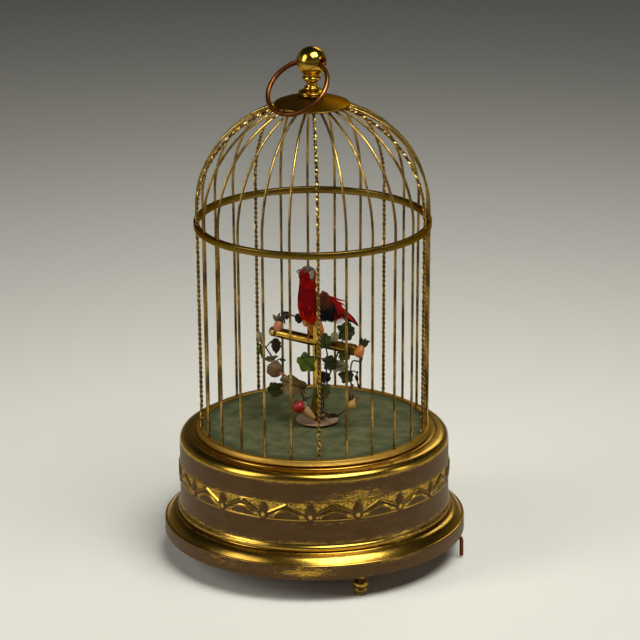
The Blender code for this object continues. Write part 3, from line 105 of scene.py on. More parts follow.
def makeCamera():
    pitch = photoView["pitch"] * degree
    yaw = photoView["yaw"] * degree
    roll = photoView["roll"] * degree
    ahead = Vector((math.sin(yaw) * math.cos(pitch), math.cos(yaw) * math.cos(pitch), -math.sin(pitch)))
    right = ahead.cross(up).normalized()
    above = right.cross(ahead)
    across = right * math.cos(roll) + above * math.sin(roll)
    upright = above * math.cos(roll) - right * math.sin(roll)
    data = bpy.data.cameras.new("photoCamera")
    data.sensor_width = photoView["sensor"]
    data.lens = photoView["focalPixels"] * photoView["sensor"] / photoView["imagePixels"]
    data.clip_end = photoView["farEnd"]
    camera = newObject("photoCamera", data)
    facing = Matrix((across, upright, -ahead)).transposed()
    camera.matrix_world = Matrix.Translation(photoView["place"]) @ facing.to_4x4()
    bpy.context.scene.camera = camera


# Each lamp: degrees round from the front, degrees up, distance, width, height, watts, degrees of spread
lamps = {
    "overheadSoftbox": (38, 63, 1.15, 0.85, 0.6, 2.75, 72),
    "leftSoftbox": (-66, 28, 2.2, 1, 1.7, 3.3, 66),
    "rightPanel": (78, 14, 2.2, 0.37, 1.2, 0.68, 80),
    "backPanel": (160, 30, 1.5, 0.6, 0.6, 0.28, 60),
}
room = {
    "aim": (0, 0, 0.13), "low": 0.19, "high": 0.014, "horizon": 0.5,
    "floor": (0.82, 0.797, 0.7), "floorSize": 9, "floorRoughness": 0.9,
}


def makeLamps():
    aim = Vector(room["aim"])
    for name, (around, rise, distance, width, height, watts, spread) in lamps.items():
        data = bpy.data.lights.new(name, "AREA")
        data.shape = "RECTANGLE"
        data.size = width
        data.size_y = height
        data.energy = watts
        data.spread = spread * degree
        lamp = newObject(name, data)
        away = Vector((math.sin(around * degree) * math.cos(rise * degree),
                       -math.cos(around * degree) * math.cos(rise * degree),
                       math.sin(rise * degree)))
        lamp.location = aim + away * distance
        lamp.rotation_euler = away.to_track_quat("Z", "Y").to_euler()


def makeRoom():
    # The studio's walls: pale round the sides, darker overhead
    world = bpy.data.worlds.new("studio")
    bpy.context.scene.world = world
    world.use_nodes = True
    tree = world.node_tree
    place = addNode(tree, "TexCoord")
    split = addNode(tree, "SeparateXYZ", {"Vector": place.outputs["Generated"]})
    ramp = addNode(tree, "ValToRGB", {"Fac": split.outputs["Z"]})
    levels = ((0, room["low"]), (room["horizon"], room["high"]))
    for stop, (position, level) in zip(ramp.color_ramp.elements, levels):
        stop.position = position
        stop.color = (level, level, level, 1)
    tree.links.new(ramp.outputs["Color"], tree.nodes["Background"].inputs["Color"])
    bpy.ops.mesh.primitive_plane_add(size=room["floorSize"], location=(0, 0, 0))
    floor = bpy.context.object
    floor.name = "paleFloor"
    paper, _, shader = newMaterial("paleFloor", roughness=room["floorRoughness"])
    shader["Base Color"].default_value = (*room["floor"], 1)
    shader["Specular IOR Level"].default_value = 0
    floor.data.materials.append(paper)
    bpy.context.scene.view_settings.view_transform = "Standard"


# Shader helpers and the effects that several finishes share

def setInputs(tree, made, inputs):
    for key, value in inputs.items():
        if isinstance(value, bpy.types.NodeSocket):
            tree.links.new(value, made.inputs[key])
        else:
            made.inputs[key].default_value = value


def addNode(tree, kind, inputs=None, **settings):
    made = tree.nodes.new("ShaderNode" + kind)
    made.location = (180 * (len(tree.nodes) % 12) - 1600, -260 * (len(tree.nodes) // 12))
    for key, value in settings.items():
        setattr(made, key, value)
    setInputs(tree, made, inputs or {})
    return made


def mixColour(tree, share, first, second):
    mix = addNode(tree, "Mix", {0: share, 6: first, 7: second}, data_type="RGBA")
    return mix.outputs[2]


def calculate(tree, operation, first, second=0.5, clamp=False):
    return addNode(tree, "Math", {0: first, 1: second}, operation=operation, use_clamp=clamp).outputs[0]


def newGroup(name, inputs, outputs):
    group = bpy.data.node_groups.new(name, "ShaderNodeTree")
    for way, sockets in (("INPUT", inputs), ("OUTPUT", outputs)):
        for label, value in sockets.items():
            kind = "NodeSocketColor" if isinstance(value, tuple) else "NodeSocketFloat"
            socket = group.interface.new_socket(label, in_out=way, socket_type=kind)
            socket.default_value = value
    entry = group.nodes.new("NodeGroupInput")
    entry.location = (-1800, 0)
    leave = group.nodes.new("NodeGroupOutput")
    leave.location = (800, 0)
    return group, entry.outputs, leave.inputs


def stretchedPlace(tree, stretch):
    # Object coordinates drawn out, so that marks run round the piece
    place = addNode(tree, "TexCoord")
    factors = addNode(tree, "CombineXYZ", {"X": 1, "Y": 1, "Z": stretch})
    return addNode(tree, "VectorMath", {0: place.outputs["Object"], 1: factors.outputs[0]},
                   operation="MULTIPLY").outputs[0]


def makeWearAndLightGroup():
    # Where the patina is rubbed through, and where painted highlights and painted shade lie: a painted
    # amount, broken up by two sizes of noise
    group, entry, leave = newGroup(
        "rubbedThroughAndLit",
        {"WearAndLight": 0.5, "Scale": 160, "Stretch": 3, "Ragged": 0.8, "Softness": 0.12}, {"Mask": 0})
    place = stretchedPlace(group, entry["Stretch"])
    broad = addNode(group, "TexNoise", {"Vector": place, "Scale": entry["Scale"], "Detail": 5,
                                        "Roughness": 0.62})
    fineScale = calculate(group, "MULTIPLY", entry["Scale"], 6)
    fine = addNode(group, "TexNoise", {"Vector": place, "Scale": fineScale, "Detail": 3})
    both = calculate(group, "ADD", calculate(group, "MULTIPLY", broad.outputs["Fac"], 0.5),
                     calculate(group, "MULTIPLY", fine.outputs["Fac"], 0.5))
    shift = calculate(group, "MULTIPLY", calculate(group, "SUBTRACT", both, 0.5), entry["Ragged"])
    level = calculate(group, "ADD", entry["WearAndLight"], shift)
    low = calculate(group, "SUBTRACT", 0.5, entry["Softness"])
    high = calculate(group, "ADD", 0.5, entry["Softness"])
    mask = addNode(group, "MapRange", {"Value": level, "From Min": low, "From Max": high},
                   interpolation_type="SMOOTHSTEP")
    group.links.new(mask.outputs["Result"], leave["Mask"])
    return group


def makeToneGroup():
    # One colour drifting to another over the surface
    group, entry, leave = newGroup(
        "driftingTone",
        {"First": (0.1, 0.1, 0.1, 1), "Second": (0.2, 0.2, 0.2, 1), "Scale": 60, "Stretch": 1,
         "Contrast": 1.6},
        {"Colour": (0.1, 0.1, 0.1, 1)})
    place = stretchedPlace(group, entry["Stretch"])
    noise = addNode(group, "TexNoise", {"Vector": place, "Scale": entry["Scale"], "Detail": 4,
                                        "Roughness": 0.6})
    spread = calculate(group, "MULTIPLY", calculate(group, "SUBTRACT", noise.outputs["Fac"], 0.5),
                       entry["Contrast"])
    share = calculate(group, "ADD", spread, 0.5, clamp=True)
    group.links.new(mixColour(group, share, entry["First"], entry["Second"]), leave["Colour"])
    return group


def makeGrainGroup():
    # Fine marks for bump and for an uneven shine
    group, entry, leave = newGroup(
        "fineGrain", {"Scale": 900, "Stretch": 1, "Low": 0.3, "High": 0.5}, {"Height": 0, "Roughness": 0})
    place = stretchedPlace(group, entry["Stretch"])
    noise = addNode(group, "TexNoise", {"Vector": place, "Scale": entry["Scale"], "Detail": 3,
                                        "Roughness": 0.7})
    shine = addNode(group, "MapRange", {"Value": noise.outputs["Fac"], "From Min": 0.3,
                                        "From Max": 0.7, "To Min": entry["Low"],
                                        "To Max": entry["High"]})
    group.links.new(noise.outputs["Fac"], leave["Height"])
    group.links.new(shine.outputs["Result"], leave["Roughness"])
    return group


wearAndLightGroup = makeWearAndLightGroup()
toneGroup = makeToneGroup()
grainGroup = makeGrainGroup()


def useGroup(tree, group, inputs):
    made = tree.nodes.new("ShaderNodeGroup")
    made.node_tree = group
    setInputs(tree, made, inputs)
    return made.outputs


def newMaterial(name, metallic=0, roughness=0.5):
    material = bpy.data.materials.new(name)
    material.use_nodes = True
    shader = material.node_tree.nodes["Principled BSDF"]
    shader.inputs["Metallic"].default_value = metallic
    shader.inputs["Roughness"].default_value = roughness
    return material, material.node_tree, shader.inputs


def readPaint(tree, name):  # the number that paint() puts on each point under this name
    return addNode(tree, "Attribute", attribute_name=name).outputs["Fac"]


def addBump(tree, shader, height, strength, depth):  # depth in millimetres
    bump = addNode(tree, "Bump", {"Height": height, "Strength": strength, "Distance": depth * mm})
    tree.links.new(bump.outputs["Normal"], shader["Normal"])


def twoTones(tree, first, second, **settings):
    tones = {"First": linear(*first), "Second": linear(*second)}
    return useGroup(tree, toneGroup, {**tones, **settings})["Colour"]


# Metal finishes: two tones of patina and two of bare metal, how the rubbing between them is broken up, the
# least and the greatest roughness, and the grain's size and depth. Where given, "dull" is how metallic the
# patina stays, and "edge" is the tint of what is reflected at a flat angle
metals = {
    "patinatedBrass": {
        "patina": ((70, 44, 23), (88, 66, 34)), "bare": ((172, 134, 46), (204, 164, 70)),
        "scale": 260, "stretch": 4, "ragged": 1.8, "softness": 0.13,
        "shine": (0.17, 0.25), "grain": 700, "depth": 0.02, "dull": 0.55, "edge": (0.85, 0.74, 0.58)},
    "brushedBrass": {
        "patina": ((112, 84, 36), (134, 102, 46)), "bare": ((168, 128, 50), (188, 148, 66)),
        "scale": 300, "stretch": 2, "ragged": 1, "shine": (0.42, 0.54)},
    "satinBrass": {
        "patina": ((84, 64, 22), (104, 80, 29)), "bare": ((124, 98, 38), (144, 116, 48)),
        "scale": 90, "ragged": 0.5, "softness": 0.4, "shine": (0.22, 0.3), "depth": 0.02,
        "edge": (0.55, 0.36, 0.1)},
    "gildedBrass": {
        "patina": ((84, 58, 20), (112, 80, 28)), "bare": ((192, 150, 52), (216, 174, 74)),
        "scale": 300, "stretch": 2, "ragged": 1.1, "shine": (0.12, 0.2), "depth": 0.02},
    "barWire": {
        "patina": ((80, 58, 23), (110, 82, 33)), "bare": ((172, 136, 62), (206, 172, 94)),
        "scale": 520, "stretch": 0.35, "ragged": 1.6, "shine": (0.16, 0.28), "grain": 1500, "depth": 0.04,
        "edge": (0.9, 0.8, 0.62)},
    "ringCopper": {
        "patina": ((88, 46, 20), (116, 64, 30)), "bare": ((178, 112, 54), (206, 142, 78)),
        "scale": 260, "ragged": 1.2, "shine": (0.14, 0.24)},
    "machinedBrass": {
        "patina": ((150, 116, 52), (176, 138, 64)), "bare": ((214, 178, 96), (226, 194, 112)),
        "scale": 90, "ragged": 0.8, "shine": (0.28, 0.42), "grain": 1200, "depth": 0.04},
    "plainSteel": {
        "patina": ((120, 120, 122), (140, 140, 143)), "bare": ((176, 176, 180), (190, 190, 194)),
        "scale": 200, "ragged": 0.8, "shine": (0.28, 0.42), "grain": 1200, "depth": 0.04, "edge": (1, 1, 1)},
}
metalShared = {"stretch": 1, "softness": 0.2, "grain": 900, "depth": 0.03, "edge": (0.68, 0.56, 0.4),
               "marks": {"patina": 0.35, "bare": 0.6}, "rougher": 0.2, "strength": 0.6}


def makeMetal(name):
    look = {**metalShared, **metals[name]}
    material, tree, shader = newMaterial(name, metallic=1)
    shader["Specular Tint"].default_value = (*look["edge"], 1)
    mask = useGroup(tree, wearAndLightGroup, {
        "WearAndLight": readPaint(tree, "wearAndLight"), "Scale": look["scale"], "Stretch": look["stretch"],
        "Ragged": look["ragged"], "Softness": look["softness"]})["Mask"]
    tones = [twoTones(tree, *look[layer], Scale=marks * look["scale"], Stretch=look["stretch"])
             for layer, marks in look["marks"].items()]
    tree.links.new(mixColour(tree, mask, *tones), shader["Base Color"])
    low, high = look["shine"]
    grain = useGroup(tree, grainGroup, {"Scale": look["grain"], "Stretch": look["stretch"], "Low": low,
                                        "High": high})
    dulled = calculate(tree, "MULTIPLY", calculate(tree, "SUBTRACT", 1, mask), look["rougher"])
    tree.links.new(calculate(tree, "ADD", grain["Roughness"], dulled), shader["Roughness"])
    if "dull" in look:
        shown = calculate(tree, "MULTIPLY", mask, 1 - look["dull"])
        tree.links.new(calculate(tree, "ADD", shown, look["dull"]), shader["Metallic"])
    addBump(tree, shader, grain["Height"], look["strength"], look["depth"])
    return material


# rim is the colour of the painted shade round the felt's edge
feltFinish = {
    "tones": ((76, 80, 50), (112, 112, 78)), "fibre": (58, 64, 34), "rim": (66, 74, 48), "marks": 110,
    "contrast": 3.2, "grain": 1500, "fibreShare": 0.6, "ragged": 0.9, "softness": 0.3,
    "roughness": 0.95, "specular": 0.1, "strength": 0.9, "depth": 0.35,
}


def makeFelt():
    look = feltFinish
    material, tree, shader = newMaterial("greenFelt", roughness=look["roughness"])
    cloth = twoTones(tree, *look["tones"], Scale=look["marks"], Contrast=look["contrast"])
    fibres = useGroup(tree, grainGroup, {"Scale": look["grain"], "Low": 0, "High": 1})
    share = calculate(tree, "MULTIPLY", fibres["Roughness"], look["fibreShare"])
    speckled = mixColour(tree, share, cloth, linear(*look["fibre"]))
    # Towards the edge the rim colour is mixed in: painted shade round the felt's edge
    rim = useGroup(tree, wearAndLightGroup, {"WearAndLight": readPaint(tree, "wearAndLight"), "Scale": look["marks"], "Stretch": 1,
                                     "Ragged": look["ragged"], "Softness": look["softness"]})["Mask"]
    tree.links.new(mixColour(tree, rim, linear(*look["rim"]), speckled), shader["Base Color"])
    shader["Specular IOR Level"].default_value = look["specular"]
    addBump(tree, shader, fibres["Height"], look["strength"], look["depth"])
    return material


paintShared = {"contrast": 2.4, "grain": 4, "smoother": 0.1, "rougher": 0.12, "strength": 0.6,
               "spotScale": 2, "spots": {"WearAndLight": 0.36, "Stretch": 1, "Ragged": 1.4, "Softness": 0.05}}


def makePaint(name, first, second, scale=300, roughness=0.5, depth=0.08, speck=None):
    # Hand painted wax, cloth or horn: two tones and fine unevenness
    look = paintShared
    material, tree, shader = newMaterial(name, roughness=roughness)
    tone = twoTones(tree, first, second, Scale=scale, Contrast=look["contrast"])
    grain = useGroup(tree, grainGroup, {"Scale": look["grain"] * scale, "Low": roughness - look["smoother"],
                                        "High": roughness + look["rougher"]})
    if speck:
        spots = useGroup(tree, wearAndLightGroup, {**look["spots"], "Scale": look["spotScale"] * scale})["Mask"]
        tone = mixColour(tree, spots, tone, linear(*speck))
    tree.links.new(tone, shader["Base Color"])
    tree.links.new(grain["Roughness"], shader["Roughness"])
    addBump(tree, shader, grain["Height"], look["strength"], depth)
    return material


leafFinish = {"marks": 260, "contrast": 2.6, "grain": 900, "shine": (0.45, 0.7), "specular": 0.1,
              "strength": 0.5, "depth": 0.08}


def makeLeaf(name, face, edge, vein):
    look = leafFinish
    material, tree, shader = newMaterial(name)
    tint = twoTones(tree, face, edge, Scale=look["marks"], Contrast=look["contrast"])
    veined = mixColour(tree, readPaint(tree, "vein"), tint, linear(*vein))
    tree.links.new(veined, shader["Base Color"])
    low, high = look["shine"]
    grain = useGroup(tree, grainGroup, {"Scale": look["grain"], "Low": low, "High": high})
    tree.links.new(grain["Roughness"], shader["Roughness"])
    shader["Specular IOR Level"].default_value = look["specular"]
    addBump(tree, shader, grain["Height"], look["strength"], look["depth"])
    return material


def makeBarbGroup():
    # Barbs that leave a feather's shaft at a slant, and the shaft itself
    group, entry, leave = newGroup(
        "featherBarbs", {"Along": 0, "Across": 0, "Count": 22, "Slant": 0.3}, {"Height": 0, "Shaft": 0})
    side = calculate(group, "ABSOLUTE", entry["Across"])
    slanted = calculate(group, "SUBTRACT", entry["Along"], calculate(group, "MULTIPLY", side, entry["Slant"]))
    turns = calculate(group, "MULTIPLY", slanted, calculate(group, "MULTIPLY", entry["Count"], fullTurn))
    wave = calculate(group, "MULTIPLY", calculate(group, "SINE", turns), 0.5)
    group.links.new(calculate(group, "ADD", wave, 0.5), leave["Height"])
    shaft = addNode(group, "MapRange", {"Value": side, "From Min": 0, "From Max": 0.3, "To Min": 1,
                                        "To Max": 0})
    group.links.new(shaft.outputs["Result"], leave["Shaft"])
    return group


barbGroup = makeBarbGroup()


featherFinish = {"ends": (16, 14, 16), "fade": 0.12, "grain": 2600, "stretch": 0.4, "shine": (0.7, 0.95),
                 "barbShare": 0.5, "roughness": 0.8, "specular": 0.05, "strength": 0.6, "depth": 0.05}


def makeFeathers(name, root, tip, dark, darkFrom=2):
    # Root and tip colours run along each feather, and each has its own tint
    look = featherFinish
    material, tree, shader = newMaterial(name, roughness=look["roughness"])
    along = readPaint(tree, "along")
    run = mixColour(tree, along, linear(*root), linear(*tip))
    shaded = mixColour(tree, readPaint(tree, "tint"), run, linear(*dark))
    ends = addNode(tree, "MapRange", {"Value": along, "From Min": darkFrom,
                                      "From Max": darkFrom + look["fade"]}).outputs["Result"]
    coloured = mixColour(tree, ends, shaded, linear(*look["ends"]))
    barbs = useGroup(tree, barbGroup, {"Along": along, "Across": readPaint(tree, "across")})
    low, high = look["shine"]
    fluff = useGroup(tree, grainGroup, {"Scale": look["grain"], "Stretch": look["stretch"], "Low": low,
                                        "High": high})
    lines = calculate(tree, "MULTIPLY", barbs["Height"], fluff["Height"])
    lines = calculate(tree, "MULTIPLY", lines, look["barbShare"])
    tree.links.new(mixColour(tree, lines, coloured, linear(*dark)), shader["Base Color"])
    tree.links.new(fluff["Roughness"], shader["Roughness"])
    shader["Specular IOR Level"].default_value = look["specular"]
    height = calculate(tree, "ADD", barbs["Height"], barbs["Shaft"])
    addBump(tree, shader, height, look["strength"], look["depth"])
    return material


# Paints: two tones, size of the marks, roughness, depth of the unevenness, specks
paints = {
    "standCard": ((134, 106, 72), (164, 134, 96), 200, 0.62, 0.1, (96, 70, 48)),
    "darkWire": ((26, 21, 15), (48, 38, 26), 400, 0.55),
    "twigOrange": ((136, 76, 34), (164, 100, 50), 300, 0.6, 0.1),
    "budBrown": ((92, 68, 36), (128, 98, 54), 260, 0.7, 0.3, (56, 40, 20)),
    "budYellow": ((158, 116, 40), (182, 140, 62), 260, 0.55, 0.2),
    "berryRed": ((128, 6, 4), (164, 14, 8), 200, 0.34, 0.05),
    "berryOrange": ((164, 90, 14), (190, 118, 30), 220, 0.42, 0.1),
    "berryPink": ((178, 98, 52), (190, 128, 86), 220, 0.45, 0.1),
    "tanWax": ((168, 118, 62), (192, 142, 86), 180, 0.55, 0.1),
    "legOrange": ((186, 96, 20), (206, 126, 34), 300, 0.5, 0.1),
    "horn": ((48, 47, 42), (78, 75, 66), 500, 0.4, 0.04),
    "eyeBead": ((12, 10, 10), (20, 16, 14), 400, 0.12, 0.01),
    "boxwood": ((150, 112, 70), (180, 140, 92), 90, 0.6, 0.1),
    "kidSkin": ((206, 190, 166), (222, 208, 186), 120, 0.8, 0.2),
}
# Leaves: face, edge, veins
leafColours = {
    "leafDark": ((36, 43, 11), (57, 62, 18), (26, 31, 8)),
    "leafGreen": ((52, 68, 12), (78, 90, 22), (38, 50, 10)),
    "leafPale": ((108, 106, 74), (138, 132, 96), (84, 82, 54)),
    "leafOlive": ((60, 60, 24), (86, 80, 36), (42, 42, 18)),
    "leafShade": ((32, 27, 15), (52, 43, 24), (24, 20, 12)),
    "leafBrown": ((98, 82, 50), (122, 102, 62), (64, 50, 30)),
}
# Feathers: root, tip, shade, and from where along a feather its end is black
featherColours = {
    "breastFeathers": ((134, 6, 2), (224, 30, 8), (78, 4, 6)),
    "backFeathers": ((128, 10, 8), (214, 34, 20), (66, 8, 10)),
    "tailFeathers": ((120, 10, 10), (200, 36, 26), (66, 8, 10), 0.7),
    "wingFeathers": ((30, 28, 26), (20, 19, 19), (12, 12, 14)),
    "shoulderFeathers": ((120, 56, 32), (84, 42, 28), (46, 22, 16)),
    "capFeathers": ((74, 78, 68), (100, 102, 88), (42, 46, 40)),
    "cheekFeathers": ((126, 122, 102), (156, 148, 126), (92, 90, 74)),
}
finishes = {name: makeMetal(name) for name in metals}
finishes["greenFelt"] = makeFelt()
for makeFinish, table in ((makePaint, paints), (makeLeaf, leafColours), (makeFeathers, featherColours)):
    finishes.update({name: makeFinish(name, *look) for name, look in table.items()})
print("finishes made")


# Mesh helpers

def gridMesh(name, points, loopRows=False, loopColumns=True, capped=False):
    rows, columns = points.shape[:2]
    index = np.arange(rows * columns).reshape(rows, columns)
    first = index if loopRows else index[:-1]
    second = np.roll(index, -1, axis=0) if loopRows else index[1:]
    if loopColumns:
        faces = np.stack([first, np.roll(first, -1, 1), np.roll(second, -1, 1), second], -1)
    else:
        faces = np.stack([first[:, :-1], first[:, 1:], second[:, 1:], second[:, :-1]], -1)
    faces = faces.reshape(-1, 4).tolist()
    if capped:
        faces += [index[0].tolist(), index[-1].tolist()]
    mesh = bpy.data.meshes.new(name)
    mesh.from_pydata(points.reshape(-1, 3).tolist(), [], faces)
    return mesh


def cleaned(mesh, merge=True):
    work = bmesh.new()
    work.from_mesh(mesh)
    if merge:
        bmesh.ops.remove_doubles(work, verts=work.verts, dist=0.001 * mm)
    bmesh.ops.recalc_face_normals(work, faces=work.faces)
    work.to_mesh(mesh)
    work.free()
    return mesh


def newObject(name, data):
    made = bpy.data.objects.new(name, data)
    bpy.context.scene.collection.objects.link(made)
    return made


def addPiece(mesh, finish, body="stand", stands=None, sharp=38):  # named as its mesh
    mesh.materials.append(finishes[finish])
    mesh.shade_smooth()
    mesh.set_sharp_from_angle(angle=sharp * degree)
    piece = newObject(mesh.name, mesh)
    if body:
        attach(piece, body)
    if stands:
        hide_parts(stands)
    return piece


def paint(mesh, name, amount):
    # A number for each point, from a rule for its place or the same for all
    count = len(mesh.vertices)
    if callable(amount):
        places = np.empty(count * 3, dtype=np.float32)
        mesh.vertices.foreach_get("co", places)
        values = amount(*places.reshape(-1, 3).T)
    else:
        values = amount
    layer = mesh.attributes.get(name) or mesh.attributes.new(name, "FLOAT", "POINT")
    layer.data.foreach_set("value", np.broadcast_to(values, count).astype(np.float32).copy())
    return mesh


def arc(radius, height, across, rise, start, stop, steps):
    # Part of an ellipse in an outline of (radius, height), its angles in degrees from straight out
    return [(radius + across * math.cos(a), height + rise * math.sin(a))
            for a in np.linspace(start * degree, stop * degree, steps + 1)]


def profile(rows, base=0):
    # An outline from rows of radius and height over the base, where a longer row is an arc
    outline = []
    for radius, height, *curve in rows:
        outline += arc(radius, base + height, *curve) if curve else [(radius, base + height)]
    return outline


def turned(name, outline, steps, centre=(0, 0, 0), ring=False, relief=None):
    # An outline in millimetres, turned round an upright axis through the centre
    outline = np.array(outline, dtype=float) * mm
    angle = np.linspace(0, fullTurn, steps, endpoint=False)
    radius = np.repeat(outline[:, :1], steps, axis=1)
    height = np.repeat(outline[:, 1:], steps, axis=1)
    if relief is not None:
        radius = radius + relief(radius, height, angle[None, :])
    points = np.stack([radius * np.sin(angle), -radius * np.cos(angle), height], -1)
    return cleaned(gridMesh(name, points + np.array(centre), loopRows=ring))


def smoothLine(points, steps):
    # A smooth curve through points, with so many steps between each two
    points = [Vector(p) for p in points]
    line = []
    for index in range(len(points) - 1):
        before = points[max(index - 1, 0)]
        start, end = points[index], points[index + 1]
        after = points[min(index + 2, len(points) - 1)]
        for step in range(steps):
            t = step / steps
            line.append(0.5 * (2 * start + (end - before) * t
                               + (2 * before - 5 * start + 4 * end - after) * t * t
                               + (3 * start - before - 3 * end + after) * t ** 3))
    line.append(points[-1])
    return line


def ringPoints(centre, first, second, count):
    # Points round a centre, between one half axis and the other
    turns = [fullTurn * index / count for index in range(count)]
    return [tuple(centre + first * math.cos(turn) + second * math.sin(turn)) for turn in turns]


def wayAlong(line, index):
    return (line[min(index + 1, len(line) - 1)] - line[max(index - 1, 0)]).normalized()


def tubePoints(line, radii, sides):
    # Rings round a line, carried along it without a twist
    side = None
    rings = []
    for index, point in enumerate(line):
        along = wayAlong(line, index)
        side = along.orthogonal() if side is None else side - along * side.dot(along)
        side = side.normalized()
        reach = radii[index] if hasattr(radii, "__len__") else radii
        rings.append(ringPoints(point, side * reach, along.cross(side) * reach, sides))
    return np.array(rings)


def tubeMesh(name, line, radii, sides=12):
    return cleaned(gridMesh(name, tubePoints(line, radii, sides), capped=True))


def joinMeshes(name, meshes):
    work = bmesh.new()
    for mesh in meshes:
        work.from_mesh(mesh)
        bpy.data.meshes.remove(mesh)
    joined = bpy.data.meshes.new(name)
    work.to_mesh(joined)
    work.free()
    return joined


def smoothStep(low, high, value):
    share = np.clip((value - low) / (high - low), 0, 1)
    return share * share * (3 - 2 * share)


def hump(value, middle, width):
    return np.exp(-((value - middle) / width) ** 2)


def frontAngle(x, y):  # degrees round from the front, towards the right
    return np.degrees(np.arctan2(x, -y))


everywhere = math.inf


def rubbedAndLitPlaces(amount, places, around, height):
    # Each place: how much more, degrees round from the front, how wide, height, how tall
    for more, middle, wide, level, tall in places:
        amount = amount + more * hump(around, middle, wide) * hump(height, level, tall)
    return amount


# Drum with its stamped frieze

drumLook = {
    "radius": 71.5, "bead": 72.8, "beadTop": 30.2, "inner": 69.5,
    "rimStart": 63.9, "rimWidth": 6.3, "rimRound": 4.5, "rimHeight": 4.4, "groove": 68, "lip": 57.5,
    "lipThickness": 1.7, "lowRows": (34, 38), "friezeRows": (41.2, 53.8, 0.22),
    "highRows": (56, 59, 62), "steps": 900,
}
frieze = {
    "low": 42.4, "high": 52.4, "pods": 18, "firstPod": -1.7,
    "podHalf": (2.5, 4.9), "podNeck": 0.22, "podRise": 1, "spot": (-2.2, 1, 1.45), "spotRise": -0.3,
    "ribbonPeak": 4, "ribbonFall": 0.5, "ribbonHalf": 1.1, "ribbonRise": 0.85,
    "leafHalf": 6.8, "leafTop": 1.4, "leafDrop": 2.6, "leafFoot": -3.5, "leafBand": 1.3, "leafRise": 0.5,
    "line": -4.2, "upperLine": 5, "upperHalf": 0.3, "edgeRise": 0.25, "fade": (5.9, 5.3),
}
# How bare the brass of each part is, or how much one side of it differs. The ribbon's brighter upper flank is
# a painted highlight, its darker lower flank (ribbonLow) is painted shade, and leafShadow and ribbonShadow
# are painted shadows
friezeBareAndLight = {
    "ground": 0.56, "mottle": 0.14, "hollow": 0.2, "pod": 0.1, "podFlank": 0.5, "spot": 0.92,
    "leafEdge": 0.76, "leafFall": 0.58, "leafShadow": 0.16, "ribbon": 0.88, "ribbonLow": 0.74,
    "ribbonTop": 0.5, "ribbonShadow": 0.12, "foot": 0.75, "line": 0.8, "upperLine": 0.56, "besidePod": 0.1,
}


def friezeShape(height, angle):
    # The relief in millimetres and how bare its brass is, with painted highlight, shade and shadows on the
    # ribbons and leaves, for a place on the drum's wall
    tone = friezeBareAndLight
    middle = 0.5 * (frieze["low"] + frieze["high"])
    pitch = 360 / frieze["pods"]
    share = (np.degrees(angle) - frieze["firstPod"]) / pitch
    share = share - np.round(share)
    span = pitch * degree * drumLook["radius"]
    x = np.abs(share * span) + 0 * height
    v = height / mm - middle + 0 * x
    away = span / 2 - x
    podX, podV = frieze["podHalf"]
    pod = (x / (podX * (1 - frieze["podNeck"] * v / podV))) ** 2 + (v / podV) ** 2
    outside = pod > 1
    relief = frieze["podRise"] * np.sqrt(np.clip(1 - pod, 0, 1))
    ground = tone["ground"] - tone["mottle"] * np.sin(2.1 * x + 1.3 * v) * np.sin(1.7 * v - 0.6 * x)
    bare = ground + (tone["hollow"] - ground) * smoothStep(1.45, 1.05, pod)
    flank = tone["podFlank"] * smoothStep(0.72, 0.98, pod) * (v > 1) * (x > 0.8)
    bare = np.where(pod < 1, tone["pod"] + flank, bare)
    spotV, spotX, spotHalf = frieze["spot"]
    spot = (x / spotX) ** 2 + ((v - spotV) / spotHalf) ** 2
    bare = np.where(spot < 1, tone["spot"], bare)
    relief = relief + frieze["spotRise"] * smoothStep(1.6, 1.1, spot) * smoothStep(0.7, 1, spot)
    leafTop = frieze["leafTop"] - frieze["leafDrop"] * (away / frieze["leafHalf"]) ** 2
    onLeaf = (away < frieze["leafHalf"]) & (v < leafTop) & (v > frieze["leafFoot"]) & (pod > 1.1)
    depth = leafTop - v
    bulge = np.sqrt(np.clip(depth / frieze["leafBand"], 0, 1))
    bulge = bulge * smoothStep(0, 0.5, v - frieze["leafFoot"])
    relief = np.where(onLeaf, np.maximum(relief, frieze["leafRise"] * bulge), relief)
    banded = smoothStep(0.7 * frieze["leafBand"], 1.3 * frieze["leafBand"], depth)
    bare = np.where(onLeaf, tone["leafEdge"] - tone["leafFall"] * banded, bare)
    shadow = (away < frieze["leafHalf"] + 0.6) & (v > leafTop) & (v < leafTop + 0.9) & (pod > 1.1)
    bare = np.where(shadow, tone["leafShadow"], bare)
    across = (v - frieze["ribbonPeak"] + frieze["ribbonFall"] * away) / frieze["ribbonHalf"]
    onRibbon = outside & (np.abs(across) < 1)
    ridge = np.clip(1 - np.abs(across), 0, 1) ** 0.8
    relief = np.where(onRibbon, np.maximum(relief, frieze["ribbonRise"] * ridge), relief)
    # The ribbon's upper flank stays bright as a painted highlight, and its lower flank turns dark as painted
    # shade
    sides = tone["ribbon"] - tone["ribbonLow"] * smoothStep(0.15, -0.15, across)
    bare = np.where(onRibbon, sides - tone["ribbonTop"] * smoothStep(0.8, 0.97, across), bare)
    bare = np.where(outside & (across < -1) & (across > -1.35), tone["ribbonShadow"], bare)
    under = smoothStep(0.55, 0.2, np.abs(v - frieze["line"]))
    foot = tone["foot"] * smoothStep(-3.4, -3.8, v) * (1 - under)
    bare = np.maximum(bare * (1 - foot), tone["line"] * under * outside)
    relief = relief + frieze["edgeRise"] * (under + hump(v, frieze["upperLine"], frieze["upperHalf"]))
    bare = np.where(np.abs(v - frieze["upperLine"]) < frieze["upperHalf"], tone["upperLine"], bare)
    bare = bare - tone["besidePod"] * smoothStep(1.75, 1.2, pod) * outside
    inside = smoothStep(*frieze["fade"], np.abs(v))
    return relief * inside, bare, inside


def friezeRelief(radius, height, angle):
    onWall = np.abs(radius / mm - drumLook["radius"]) < 0.05
    relief, _, _ = friezeShape(height, angle)
    return np.where(onWall, relief * mm, 0)
